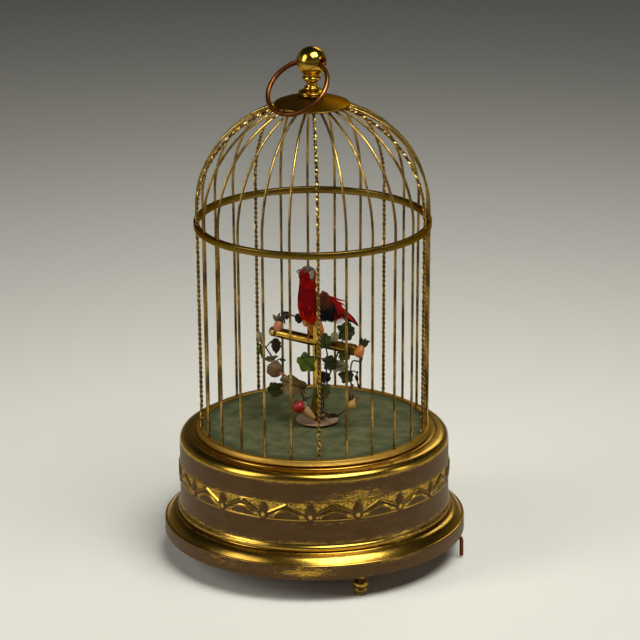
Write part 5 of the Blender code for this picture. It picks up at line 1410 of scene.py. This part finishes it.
# Bill: millimetres ahead of the head's middle and above it, and half its thickness there
upperBill = ((2.6, 2.85, 0.65), (3.9, 3, 0.62), (4.9, 2.85, 0.46), (5.7, 2.45, 0.28), (6.2, 1.95, 0.08))
lowerBill = ((4.7, 1.5, 0.36), (5.1, 1.54, 0.31), (5.45, 1.64, 0.22), (5.8, 1.78, 0.08))


def onHead(turn, rise):  # angles round from the beak and up from level, in degrees
    level = math.cos(rise * degree)
    normal = (headAhead * math.cos(turn * degree) * level + headLeft * math.sin(turn * degree) * level
              + up * math.sin(rise * degree))
    return headCentre + normal * (birdLook["headRadius"] - headLook["inset"]) * mm, normal


def makeHead():
    rng = random.Random(8)
    radius = birdLook["headRadius"] - headLook["inset"]
    neck = birdLook["headLift"] - headLook["gap"]
    reach = headLook["neckRadius"]
    outline = [(0, -neck), (reach - 0.35, -neck), (reach - 0.05, -neck + 0.6)]
    outline += arc(0, 0, radius, radius, -20, 90, 16)
    outline[-1] = (0, radius)
    core = turned("headCore", outline, headLook["sides"], centre=tuple(headCentre))
    paint(core, "along", 0.4)
    paint(core, "tint", 0.55)
    addPiece(core, "breastFeathers", body="head", stands="bird_head")
    groups = {"headPlumage": Plumage(), "capPlumage": Plumage(), "cheekPlumage": Plumage()}
    for rise in range(-60, 91, headLook["rowStep"]):
        count = max(1, int(44 * math.cos(min(rise, 88) * degree)))
        offset = 0.5 * ((rise // headLook["rowStep"]) % 2)
        for number in range(count):
            turn = 360 * (number + offset) / count + rng.uniform(-3, 3) - 180
            place, normal = onHead(turn, rise)
            if rise < -24:
                reach = headLook["neckRadius"] - 0.3
                level = Vector((normal.x, normal.y, 0)).normalized()
                place = headCentre + (level * reach + up * (rise / 58 * 3)) * mm
                normal = level
            backwards = -headAhead * 0.8 - up * (0.25 + 0.9 * min(1, max(0, (50 - rise) / 40)))
            flow = backwards - normal * backwards.dot(normal)
            if flow.length < 0.05:
                continue
            beside = abs(turn)
            if rise > 27 + 0.26 * beside and beside < 150 or rise > 66:
                group, tint = "capPlumage", rng.uniform(0, 0.6) + 0.4 * (rise < 40 + 0.26 * beside)
            elif (rise > -10 and beside < 108
                  and 87 - 0.45 * (rise + 14) < beside < 89 + 0.42 * (rise + 14)):
                group, tint = "cheekPlumage", rng.uniform(0, 0.7)
            else:
                group, tint = "headPlumage", 0.74 + 0.22 * rng.uniform(-1, 1)
            lift, droop, long = 0.12, 0.16, 1
            if rise < -40:  # the lowest rows hang over the seam at the neck
                lift, droop, long = 0.16, 0.07, 1.9
                tint -= 0.1
            groups[group].add(place - normal * 0.18 * mm, flow, normal, long * rng.uniform(2, 2.6) * mm,
                              rng.uniform(0.9, 1.25) * mm, tint, lift=lift, droop=droop, thick=0.1, blunt=2,
                              sway=rng.uniform(-0.1, 0.1))
    for name, finish in (("headPlumage", "breastFeathers"), ("capPlumage", "capFeathers"),
                         ("cheekPlumage", "cheekFeathers")):
        addPiece(groups[name].mesh(name), finish, body="head")
    eyes = []
    for side in (-1, 1):
        place, _ = onHead(side * headLook["eyeTurn"], headLook["eyeRise"])
        bead = arc(0, 0, headLook["eyeRadius"], headLook["eyeRadius"], -90, 90, 10)
        eyes.append(turned("eye", [(max(r, 0), z) for r, z in bead], 16, centre=tuple(place)))
    addPiece(joinMeshes("beadEyes", eyes), "eyeBead", body="head")
    for name, stations, body, stands in (("upperBill", upperBill, "head", None),
                                         ("lowerBill", lowerBill, "beak", "bird_lower_beak")):
        places = [headCentre + (headAhead * ahead + up * height) * mm for ahead, height, _ in stations]
        line = smoothLine(places, 5)
        spots = np.linspace(0, len(stations) - 1, len(line))
        widths = np.interp(spots, range(len(stations)), [half for _, _, half in stations]) * mm
        bill = tubeMesh(name, line, widths, headLook["billSides"])
        addPiece(bill, "horn", body=body, stands=stands)


wingLook = {"outset": 6.6, "thickness": 1.2, "taper": 0.05, "middle": (-4, 17.5, 0)}
# A wing's edge in millimetres ahead of the post and above the perch, from the shoulder down and back
wingEdge = ((3, 28.4), (5, 26), (5.2, 22), (3.2, 17), (-1.5, 13.2), (-7.5, 11.8), (-12.2, 11.6),
            (-15, 12.9), (-13.2, 16.2), (-9.6, 19.7), (-4, 24.3), (0.6, 27.8))


def wingPoint(ahead, height, side, outwards=0):
    aside = wingLook["outset"] + wingLook["taper"] * min(ahead, 0) + outwards
    return birdPoint(ahead, side * aside, height)


def makeWing(node, side):
    rng = random.Random(21)
    edge = smoothLine([(*p, 0) for p in wingEdge + wingEdge[:1]], 4)[:-1]
    middle = Vector(wingLook["middle"])
    layers = []
    for share, outwards in ((1, -wingLook["thickness"]), (1, -0.5), (0.8, -0.1), (0.5, 0.15), (0.2, 0.25)):
        layers.append([tuple(wingPoint(*(middle.lerp(p, share)).xy, side, outwards)) for p in edge])
    name = "leftWing" if side > 0 else "rightWing"
    core = cleaned(gridMesh(name + "Core", np.array(layers), capped=True))
    paint(core, "along", 0.3)
    paint(core, "tint", 0.8)
    addPiece(core, "backFeathers", stands=node)
    normal = birdLeft * side
    quills, coverts, fringe, hairs = Plumage(), Plumage(), Plumage(), Plumage()
    # Rows: roots' start and end, tips' start and end, how far the middle tips hang, feathers, width, lift
    rows = (
        (fringe, (-3, 25.5), (-5.5, 19.5), (-15.5, 16.5), (-9.8, 10.2), 0, 16, 1.2, 0.15),
        (fringe, (-1, 27), (-6, 21), (-16.5, 18.6), (-11.6, 11.4), 0, 14, 1.1, 0.4),
        (quills, (3.2, 23.5), (-6.5, 19.5), (3.2, 14), (-9.5, 11.6), 1.6, 12, 2.7, 0.55),
        (quills, (3.6, 25), (-5, 21.6), (3.8, 17), (-7.5, 14.6), 1.2, 11, 2.6, 0.85),
        (coverts, (3.2, 28.6), (-2.5, 24.6), (4.4, 20.6), (-5.4, 18), 0.8, 14, 1.5, 1.1),
        (coverts, (3, 30), (-1.4, 27), (4.4, 24), (-3.6, 21.4), 0.4, 12, 1.4, 1.35),
        (coverts, (2.6, 30.6), (-0.6, 28.6), (4, 27), (-2.4, 24.6), 0.2, 8, 1.4, 1.55),
        (hairs, (-6, 16.6), (-11, 13.6), (-7.4, 8.2), (-15.5, 8.6), 0, 11, 0.5, 0.7),
    )
    for plumage, rootStart, rootEnd, tipStart, tipEnd, hang, count, width, outwards in rows:
        for number in range(count):
            share = number / (count - 1)
            root = Vector(rootStart).lerp(Vector(rootEnd), share)
            tip = Vector(tipStart).lerp(Vector(tipEnd), share)
            tip.y -= hang * math.sin(math.pi * share)
            loose = plumage is not quills
            sink = outwards - 0.08 * number / count
            start = wingPoint(*root, side, sink - 0.25)
            run = wingPoint(*tip, side, sink - 0.1) - start
            jitter = rng.uniform(0.84, 1.08) if loose else rng.uniform(0.94, 1.05)
            plumage.add(start, run + up * rng.uniform(-0.5, 0.5) * mm, normal, run.length * jitter,
                        width * rng.uniform(0.85, 1.1) * mm, rng.uniform(0, 0.7), lift=0.05, droop=0.08,
                        thick=0.2, blunt=1.4 if loose else 3.2, sway=rng.uniform(-0.1, 0.1) if loose else 0)
    for label, plumage, finish, slot in (
            ("Quills", quills, "wingFeathers", "black_feathers"),
            ("Coverts", coverts, "shoulderFeathers", "black_feathers"),
            ("Fringe", fringe, "backFeathers", "red_feathers"),
            ("Hairs", hairs, "tailFeathers", "red_feathers")):
        addPiece(plumage.mesh(name + label), finish)


# Rings: how many feathers, share of the root's size, length. Core: how far along, half width, half height
tailLook = {
    "slope": -41, "length": 20.3, "feathers": 9, "width": 3, "bow": 0.2, "sides": 16,
    "rings": ((18, 1, 9), (14, 0.8, 12)), "ringHalf": (2.6, 1.9),
    "core": ((0, 1.8, 1.2), (0.2, 2.25, 1.125), (0.4, 2.4, 0.825), (0.6, 2.55, 0.525), (0.8, 2.25, 0.3375),
             (0.92, 1.5, 0.1875)),
}


def makeTail():
    rng = random.Random(4)
    look = tailLook
    length, bow = look["length"], look["bow"]
    root = Vector(findJoint("tail_lift")["pos_m"])
    slope = look["slope"] * degree
    along = -birdAhead * math.cos(slope) + up * math.sin(slope)
    above = along.cross(birdLeft).normalized()
    if above.z < 0:
        above = -above
    plumage = Plumage()
    for layer in (0, 1):
        count = look["feathers"] - layer * 2
        for number in range(count):
            share = 2 * number / (count - 1) - 1
            start = root + (birdLeft * share * 1.5 + above * (0.5 - 0.6 * abs(share) + 0.35 * layer)
                            + along * (0.3 + 0.2 * layer)) * mm
            run = along * (length - 2.4 * layer - 1.6 * share * share) + birdLeft * share * 1.9
            run = run - above * (1.5 * abs(share) - 0.4)
            plumage.add(start, run, above + birdLeft * share * 1.1, run.length * rng.uniform(0.94, 1.03) * mm,
                        look["width"] * rng.uniform(0.85, 1.1) * mm, rng.uniform(0, 0.8), lift=bow, droop=bow,
                        thick=0.24, blunt=4.5)
    across, rise = look["ringHalf"]
    for ring, reach, long in look["rings"]:
        for number in range(ring):
            angle = fullTurn * (number + 0.5 * reach) / ring
            outwards = (birdLeft * math.cos(angle) + above * math.sin(angle)).normalized()
            place = root + (birdLeft * across * reach * math.cos(angle)
                            + above * (rise * reach * math.sin(angle) + 0.3) + along * 0.2) * mm
            plumage.add(place - outwards * 0.2 * mm, along + above * 0.06, outwards,
                        long * rng.uniform(0.8, 1.15) * mm, 0.5 * look["width"] * mm, rng.uniform(0, 0.7),
                        lift=0.02, droop=0.1, thick=0.16, blunt=1.8, sway=rng.uniform(-0.06, 0.06))
    rings = []
    for share, wide, high in look["core"]:
        middle = root + (along * share + above * bow * share * (1 - share)) * length * mm
        rings.append(ringPoints(middle, birdLeft * wide * mm, above * high * mm, look["sides"]))
    core = cleaned(gridMesh("tailCore", np.array(rings), capped=True))
    drop = -math.sin(slope) * length * mm
    paint(core, "along", lambda x, y, z: np.clip((root.z - z) / drop, 0, 1))
    paint(core, "tint", 0.8)
    addPiece(core, "tailFeathers", body="tail", stands="bird_tail")
    addPiece(plumage.mesh("tailPlumage"), "tailFeathers", body="tail")


# Vine: dark wires, painted leaves, buds and berries

# Wires in millimetres from the middle of the stand's base
vineWires = (
    ((4.2, -1.9, 2.2), (7.7, -8.5, 4), (14.5, -9.5, 8), (18.2, -10, 16),
     (17.6, -9.4, 27), (18.6, -12, 36), (23, -17.4, 38), (23.6, -17.9, 42)),
    ((2.9, 3.6, 2.2), (4.2, 4.6, 14), (7.4, 3, 26), (11, 1.5, 36), (13.5, -1, 44),
     (14, -3, 47)),
    ((-3.25, -3.25, 2.2), (-5.5, -4.5, 10), (-10, -2, 17.5), (-17.5, 4.5, 23.5),
     (-23, 9.5, 30.5), (-27.5, 14, 36), (-29.5, 18, 37.5)),
    ((-3.25, 3.25, 2.2), (-1, 6, 20), (-1, 7, 40), (-4, 8, 51),
     (-9.4, 8, 53.5), (-13.5, 15, 53.3), (-17, 22.5, 50.5), (-17, 22.5, 46)),
    ((0.6, -4.56, 2.2), (2, -8, 12), (4, -8.5, 24), (5.6, -10.5, 36), (4.8, -12, 44)),
)
# A bare twig from the brown pod down to the dried leaf
vineTwig = ((-20.4, 5.5, 24.4), (-17.4, 3.5, 23.6), (-13.6, 0.5, 21))
vineLook = {"wire": 0.42, "stalk": 0.34, "twig": 0.7, "steps": 10, "sides": 8, "thick": 0.26,
            "ringRadius": 4.6, "ringWire": 0.5, "ringLift": 2.2}
standTop = nodeBox("perch_post")[0].z + perchLook["standThickness"] * mm
standFoot = Vector((perchMiddle.x, perchMiddle.y, standTop))
seenUp = Vector((0, math.sin(photoView["pitch"] * degree), math.cos(photoView["pitch"] * degree)))
seenOut = Vector((0, -math.cos(photoView["pitch"] * degree), math.sin(photoView["pitch"] * degree)))
seenRight = Vector((1, 0, 0))


def seenWay(direction):  # degrees as seen from the front: 0 right, 90 up
    return seenRight * math.cos(direction * degree) + seenUp * math.sin(direction * degree)


# Leaves: middle in millimetres from the stand's base, outline, length, width, the tip's direction as seen,
# turn about the tip's line, lean away from the eye, arch, finish
vineLeaves = (
    ((15.1, -4, 50), "lobed", 10.4, 10.6, 4, 12, 8, 0.1, "leafDark"),
    ((4.2, -12, 47.4), "lobed", 9.2, 7, 92, -18, 6, 0.12, "leafDark"),
    ((9.2, -8.4, 48.6), "pointed", 6.4, 4.8, 76, 20, 10, 0.15, "leafPale"),
    ((14.4, -10, 39.6), "lobed", 7.8, 7.6, -62, 24, -14, 0.15, "leafGreen"),
    ((12.1, -7, 31.7), "lobed", 10.6, 8.4, 14, -30, 16, 0.25, "leafPale"),
    ((6.6, -9, 34.4), "lobed", 8.4, 9, 10, 14, -8, 0.1, "leafDark"),
    ((15.2, -10, 27.4), "lobed", 8.4, 8.6, 24, -16, 10, 0.12, "leafDark"),
    ((3.9, 2.4, 22.6), "lobed", 7.6, 6.6, -28, 10, 18, 0.1, "leafDark"),
    ((2.5, -8.4, 18.6), "lobed", 11, 9.4, 248, -14, 12, 0.16, "leafOlive"),
    ((-5.4, -9, 34.5), "ivy", 10.4, 9.4, -48, 14, -10, 0.1, "leafGreen"),
    ((-24.7, 9, 31), "pointed", 8.2, 3.8, 8, 38, 10, 0.2, "leafPale"),
    ((-18.4, 8, 30.6), "pointed", 3.6, 2, -14, 10, 0, 0.2, "leafGreen"),
    ((-21.7, 12, 37.5), "pointed", 8.8, 5.6, -88, -16, -8, 0.12, "leafShade"),
    ((-29.7, 14, 33.8), "pointed", 8.6, 3.6, -84, 40, 4, 0.18, "leafGreen"),
    ((-30, 20, 39.4), "pointed", 7.2, 5, 104, 26, 12, 0.2, "leafPale"),
    ((-22.1, 3, 15.7), "lobed", 9.6, 8.6, 186, -10, 12, 0.14, "leafDark"),
    ((-13, -2, 20), "ivy", 14, 10, 158, -14, 8, 0.3, "leafBrown"),
    ((-5.6, -3, 15.2), "pointed", 8.4, 3.2, 150, 40, 0, 0.3, "leafPale"),
    ((17.6, -11, 18.9), "pointed", 9.2, 3.8, 258, 40, 8, 0.18, "leafBrown"),
    ((21.1, -12, 26.1), "pointed", 9.6, 4.2, -86, 76, 6, 0.15, "leafShade"),
    ((7.9, -10, 5.6), "pointed", 10.4, 4.6, -12, 52, 14, 0.35, "leafBrown"),
    ((-21.9, 23, 48.6), "pointed", 5.4, 2.4, 118, 20, 0, 0.2, "leafBrown"),
    ((-20.4, 23, 49.4), "pointed", 5, 2.2, 76, -20, 0, 0.2, "leafBrown"),
    ((-18.6, 22.4, 49), "pointed", 5.4, 2.4, 40, 16, 6, 0.2, "leafShade"),
    ((-16.3, 22, 50.8), "lobed", 4.6, 5, 58, 0, 6, 0.1, "leafShade"),
    ((-9.4, 4, 54.9), "lobed", 4.6, 5.8, 196, 12, 6, 0.12, "leafShade"),
    ((-11.6, -6, 12.8), "pointed", 3.8, 1.8, 60, 10, 10, 0.2, "leafPale"),
    ((-8.6, -6.4, 13.2), "pointed", 3.6, 1.8, 100, -10, 10, 0.2, "leafBrown"),
)
# Buds and berries: middle, length, radius, direction as seen, outline, sepals, finish, sepals' finish
vineBuds = (
    ((22.7, -21, 45.6), 8.8, 2.6, 66, "bulb", 5, "berryOrange", "leafDark"),
    ((-22.3, 8, 25.4), 8.6, 4.1, 128, "rose", 5, "budBrown", "leafBrown"),
    ((18.6, -11, 12.4), 6.4, 2.3, 62, "bulb", 3, "budYellow", "leafBrown"),
    ((-20.5, 15, 46.6), 6.4, 2.6, 264, "berry", 3, "berryPink", "leafBrown"),
    ((-5.6, -4, 55.4), 4.8, 2, 262, "berry", 0, "berryOrange", None),
    ((-9.7, -9, 9.9), 6.6, 3.2, 52, "berry", 3, "berryRed", "leafPale"),
    ((-4.6, -8, 5.9), 9, 2.7, -42, "cone", 0, "tanWax", None),
)


def leafOutline(kind, count=72):
    # Points round a leaf from its stalk: 0 to 1 along, -0.5 to 0.5 across
    points = []
    for index in range(count):
        angle = fullTurn * index / count
        if kind == "lobed":
            reach = (0.94 + 0.06 * math.cos(5 * angle)) * (0.85 + 0.15 * abs(math.sin(4.5 * angle)) ** 0.6)
            reach = reach * (1 - 0.34 * math.exp(-((angle - math.pi) / 0.28) ** 2))
            points.append((0.46 + 0.52 * reach * math.cos(angle), 0.52 * reach * math.sin(angle)))
        elif kind == "ivy":
            reach = 0.74 + 0.26 * abs(math.cos(2.5 * angle)) ** 1.5 + 0.02 * math.sin(13 * angle)
            points.append((0.42 + 0.58 * reach * math.cos(angle), 0.56 * reach * math.sin(angle)))
        else:
            t = 0.5 - 0.5 * math.cos(angle)
            half = 0.5 * math.sin(math.pi * t ** 0.8) ** 0.85 * (1 + 0.1 * math.sin(26 * t))
            points.append((t, half if angle < math.pi else -half))
    return points


def leafMesh(middle, kind, length, width, direction, turn, lean, arch):
    outline = np.array(leafOutline(kind))
    ahead = seenWay(direction).normalized()
    ahead = (ahead * math.cos(lean * degree) - seenOut * math.sin(lean * degree)).normalized()
    face = (seenOut - ahead * seenOut.dot(ahead)).normalized()
    face = Matrix.Rotation(turn * degree, 3, ahead) @ face
    side = face.cross(ahead)
    hub = np.array((0.36, 0))
    place = np.array(standFoot + Vector(middle) * mm)
    rings, veins = [], []
    for layer in (1, -1):
        shares = np.linspace(0.04, 1, 8)
        for share in (shares if layer > 0 else shares[::-1]):
            flat = hub + (outline - hub) * share
            along, across = flat[:, 0], flat[:, 1]
            lobes = np.cos(5 * np.arctan2(across * width, (along - 0.1) * length))
            ribs = 0.8 * smoothStep(0.9, 0.985, lobes) * (share > 0.3)
            vein = np.maximum(np.exp(-(across * width / 0.35) ** 2), ribs)
            height = -2 * arch * (along - 0.4) ** 2 * length + 1.8 * arch * across ** 2 * width
            waves = np.sin(5 * np.arctan2(across, along - 0.36) + length)
            height = height + 0.05 * length * share ** 3 * waves
            height = height - 0.14 * vein + layer * 0.5 * vineLook["thick"] * (1 - 0.75 * share ** 4)
            rings.append(place + mm * (np.outer((along - 0.45) * length, ahead)
                                       + np.outer(across * width, side) + np.outer(height, face)))
            veins.append(vein)
    mesh = gridMesh("leaf", np.array(rings), capped=True)
    paint(mesh, "vein", np.array(veins).ravel())
    stalkEnd = standFoot + (Vector(middle) + ahead * (0.06 - 0.45) * length) * mm
    return cleaned(mesh, merge=False), stalkEnd


budOutlines = {
    "bulb": ((0, 0), (0.55, 0.04), (0.88, 0.14), (1, 0.3), (0.93, 0.46), (0.66, 0.64), (0.4, 0.8),
             (0.26, 0.92), (0, 1)),
    "berry": ((0, 0), (0.5, 0.05), (0.84, 0.2), (1, 0.45), (0.92, 0.68), (0.66, 0.88), (0.3, 0.98),
              (0, 1)),
    "rose": ((0, 0), (0.4, 0.02), (0.78, 0.16), (1, 0.42), (0.96, 0.66), (0.74, 0.88), (0.4, 0.97),
             (0, 0.92)),
    "cone": ((0, 0), (0.72, 0.03), (0.98, 0.14), (1, 0.3), (0.82, 0.52), (0.58, 0.74), (0.34, 0.94),
             (0, 1)),
}


def budMesh(middle, length, radius, direction, kind):
    ahead = seenWay(direction).normalized()
    outline = smoothLine([(r, z, 0) for r, z in budOutlines[kind]], 4)

    def folds(reach, height, angle):
        if kind != "rose":
            return 0 * reach
        level = height / (length * mm)
        lumps = 0.1 * np.sin(3 * angle + 5 * level) + 0.07 * np.sin(7 * angle - 9 * level)
        return reach * lumps * (reach > 0.3 * radius * mm)

    mesh = turned("bud", [(max(p.x, 0) * radius, (p.y - 0.5) * length) for p in outline], 32, relief=folds)
    turn = ahead.to_track_quat("Z", "Y").to_matrix().to_4x4()
    mesh.transform(Matrix.Translation(standFoot + Vector(middle) * mm) @ turn)
    return mesh, standFoot + (Vector(middle) - ahead * 0.45 * length) * mm


def stalkTo(end, lines, lift, thick):
    # A slightly bent stalk from the nearest place on the wires
    start = min((point for line in lines for point in line), key=lambda point: (point - end).length)
    bend = start.lerp(end, 0.5) + lift * (end - start).length
    return tubeMesh("stalk", smoothLine([start, bend, end], 8), thick * vineLook["stalk"] * mm, 6)


def sepalMeshes(middle, length, radius, direction, kind, sepals):
    # Small leaves set round a bud's foot or a berry's top
    away = 0.62 * radius
    tip = 0.42 if kind in ("bulb", "berry") else -0.05
    leaves = []
    for number in range(sepals):
        swing = (360 * number / sepals + 20) * degree
        shift = seenWay(direction + 90) * math.cos(swing) * away + seenOut * math.sin(swing) * away
        place = Vector(middle) + shift + seenWay(direction) * tip * length
        leaf, _ = leafMesh(tuple(place), "pointed", 0.62 * length, 0.9 * radius,
                           direction + 14 * math.cos(swing), 40 * math.cos(swing), -20 * math.sin(swing),
                           0.2)
        leaves.append(leaf)
    return leaves


def makeVine():
    look = vineLook
    lines = [smoothLine([standFoot + Vector(p) * mm for p in wire], look["steps"]) for wire in vineWires]
    wires = [tubeMesh("wire", line, look["wire"] * mm, look["sides"]) for line in lines]
    ring = arc(look["ringRadius"], 0, look["ringWire"], look["ringWire"], 0, 360, 12)[:-1]
    centre = standFoot + up * look["ringLift"] * mm
    wires.append(turned("wireRing", ring, 48, centre=tuple(centre), ring=True))
    groups = {}
    for *leaf, finish in vineLeaves:
        mesh, end = leafMesh(*leaf)
        groups.setdefault(finish, []).append(mesh)
        wires.append(stalkTo(end, lines, up * 0.1 + seenOut * 0.06, 1))
    for *bud, sepals, finish, sepalFinish in vineBuds:
        mesh, end = budMesh(*bud)
        groups.setdefault(finish, []).append(mesh)
        wires.append(stalkTo(end, lines, up * 0.08, 1.2))
        if sepals:
            groups.setdefault(sepalFinish, []).extend(sepalMeshes(*bud, sepals))
    twig = smoothLine([standFoot + Vector(p) * mm for p in vineTwig], 8)
    widths = [look["twig"] * (1 + 0.12 * math.sin(i * 1.9)) * mm for i in range(len(twig))]
    groups["twigOrange"] = [tubeMesh("twig", twig, widths, 10)]
    mesh = paint(joinMeshes("vineWires", wires), "wearAndLight", 0.3)
    addPiece(mesh, "darkWire", stands="vine_foliage")
    for finish, meshes in groups.items():
        name = "vine" + finish[0].upper() + finish[1:]
        addPiece(joinMeshes(name, meshes), finish, sharp=60)


# Start lever, winding key and what works inside the drum

leverLook = {"wire": 1.05, "boss": 3.2, "bend": 2.4, "reach": 1.3, "drop": 1.3, "clear": 0.6}


def makeLever():
    low, high = nodeBox("start_lever")
    pivot = Vector(findJoint("lever_swing")["pos_m"])
    wire = leverLook["wire"]
    level = nodeBox("base_plate")[0].z - (0.2 + wire) * mm
    tip = Vector((high.x - wire * mm, low.y + wire * mm, 0))
    run = Vector((tip.x - pivot.x, tip.y - pivot.y, 0))
    ahead = run.normalized()
    start = Vector((pivot.x, pivot.y, level))
    end = Vector((tip.x, tip.y, level)) + ahead * leverLook["reach"] * mm
    bend = leverLook["bend"] * mm
    line = [start, start + run * 0.5, end - ahead * bend]
    for angle in (22.5, 45, 67.5, 90):
        line.append(end - ahead * bend + ahead * bend * math.sin(angle * degree)
                    - up * bend * (1 - math.cos(angle * degree)))
    foot = Vector((end.x, end.y, max(low.z - leverLook["drop"] * mm, leverLook["clear"] * mm) + 0.2 * mm))
    line += [end.lerp(foot, 0.6), foot, foot - up * 0.2 * mm]
    widths = [wire * mm] * (len(line) - 1) + [0.7 * wire * mm]
    arm = tubeMesh("leverWire", line, widths, 16)
    boss = leverLook["boss"]
    outline = [(0, -1), (boss - 0.4, -1), (boss, -0.6), (boss, 0.6), (boss - 0.4, 1), (1.4, 1),
               (1.4, 1.2), (0, 1.2)]
    hub = turned("leverHub", outline, 36, centre=tuple(start))
    mesh = paint(joinMeshes("startLever", [arm, hub]), "wearAndLight", 0.12)
    addPiece(mesh, "ringCopper", body="lever", stands="start_lever")


keyLook = {"span": 24, "tall": 6.5, "thick": 1.8, "hub": 3.6, "arbor": 2.2, "waist": 0.62, "wingSteps": 72}


def makeKey():
    middle = nodeMiddle("winding_key")
    base, top = nodeLevels("winding_key")
    look = keyLook
    hub, arbor, tall = look["hub"], look["arbor"], look["tall"]
    wingTop = base + tall
    outline = [(0, base + 0.4), (hub - 0.9, base + 0.4), (hub, base + 1.2), (hub, wingTop - 0.4),
               (hub - 0.5, wingTop), (arbor, wingTop + 0.3), (arbor, top - 0.3), (arbor - 0.3, top), (0, top)]
    stem = turned("keyStem", outline, 40, centre=(middle.x, middle.y, 0))
    rings = []
    half = look["thick"] / 2
    for inwards, height in ((0.5, -half), (0, -half + 0.4), (0, half - 0.4), (0.5, half)):
        ring = []
        for index in range(look["wingSteps"]):
            angle = fullTurn * index / look["wingSteps"]
            waist = look["waist"] + (1 - look["waist"]) * abs(math.cos(angle)) ** 1.2
            x = (look["span"] / 2 - inwards) * math.cos(angle)
            z = (tall / 2 - inwards) * waist * math.copysign(abs(math.sin(angle)) ** 0.8, math.sin(angle))
            ring.append((middle.x + x * mm, middle.y + height * mm, (base + tall / 2 + z) * mm))
        rings.append(ring)
    wing = cleaned(gridMesh("keyWing", np.array(rings), capped=True))
    mesh = paint(joinMeshes("windingKey", [wing, stem]), "wearAndLight", 0.42)
    addPiece(mesh, "patinatedBrass", body="key", stands="winding_key")


leatherLook = {"folds": 5, "depth": 1.3, "inset": 0.05, "corner": 0.22, "rowsPerFold": 8, "sides": 96}


def makeBellowsLeather():
    # Pleated kid leather between board and lid
    low, high = nodeBox("bellows_leather")
    middle = nodeMiddle("bellows_leather")
    look = leatherLook
    steps = look["folds"] * look["rowsPerFold"]
    rows = []
    for row in range(steps + 1):
        share = row / steps
        pleat = 0.5 - 0.5 * math.cos(fullTurn * look["folds"] * share)
        inwards = (look["depth"] * pleat * (0 < share < 1) + look["inset"]) * mm
        ring = []
        for index in range(look["sides"]):
            angle = fullTurn * (index + 0.5) / look["sides"]
            across, along = math.cos(angle), math.sin(angle)
            x = ((high.x - low.x) / 2 - inwards) * math.copysign(abs(across) ** look["corner"], across)
            y = ((high.y - low.y) / 2 - inwards) * math.copysign(abs(along) ** look["corner"], along)
            ring.append((middle.x + x, middle.y + y, low.z + (high.z - low.z) * share))
        rows.append(ring)
    mesh = cleaned(gridMesh("pleatedLeather", np.array(rows), capped=True))
    skin = addPiece(mesh, "kidSkin", body=None, stands="bellows_leather")
    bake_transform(skin)


# What works inside keeps its own shape and gets a finish
insideFinishes = {
    "movement_plate": ("machinedBrass", 0.6), "mainspring_barrel": ("machinedBrass", 0.5),
    "second_wheel": ("machinedBrass", 0.7), "cam_wheel": ("machinedBrass", 0.6),
    "whistle_pipe": ("machinedBrass", 0.4), "fly_governor": ("plainSteel", 0.5),
    "whistle_piston": ("plainSteel", 0.6), "bird_push_rod": ("plainSteel", 0.5),
}


def finishInside():
    for node, (finish, wearAndLight) in insideFinishes.items():
        piece = frame["nodes"][node]
        paint(piece.data, "wearAndLight", wearAndLight)
        for holder in piece.material_slots:
            holder.material = finishes[finish]
    for node in ("bellows_base_board", "bellows_lid"):
        for holder in frame["nodes"][node].material_slots:
            holder.material = finishes["boxwood"]


makeRoom()
makeCamera()
makeLamps()
print("room, camera and lamps made")
makeDrum()
makePlinth()
makeBase()
makeFeet()
makeCageFloor()
makeFeltFloor()
print("drum, plinth and floor made")
makeBars()
makeBand()
makeCap()
makeFinial()
makeRing()
makePerch()
print("cage made")
makeBody()
makeLegs()
makeHead()
makeWing("bird_wing_left", 1)
makeWing("bird_wing_right", -1)
makeTail()
print("bird made")
makeVine()
print("vine made")
makeLever()
makeKey()
makeBellowsLeather()
finishInside()
print("lever, key and movement made")
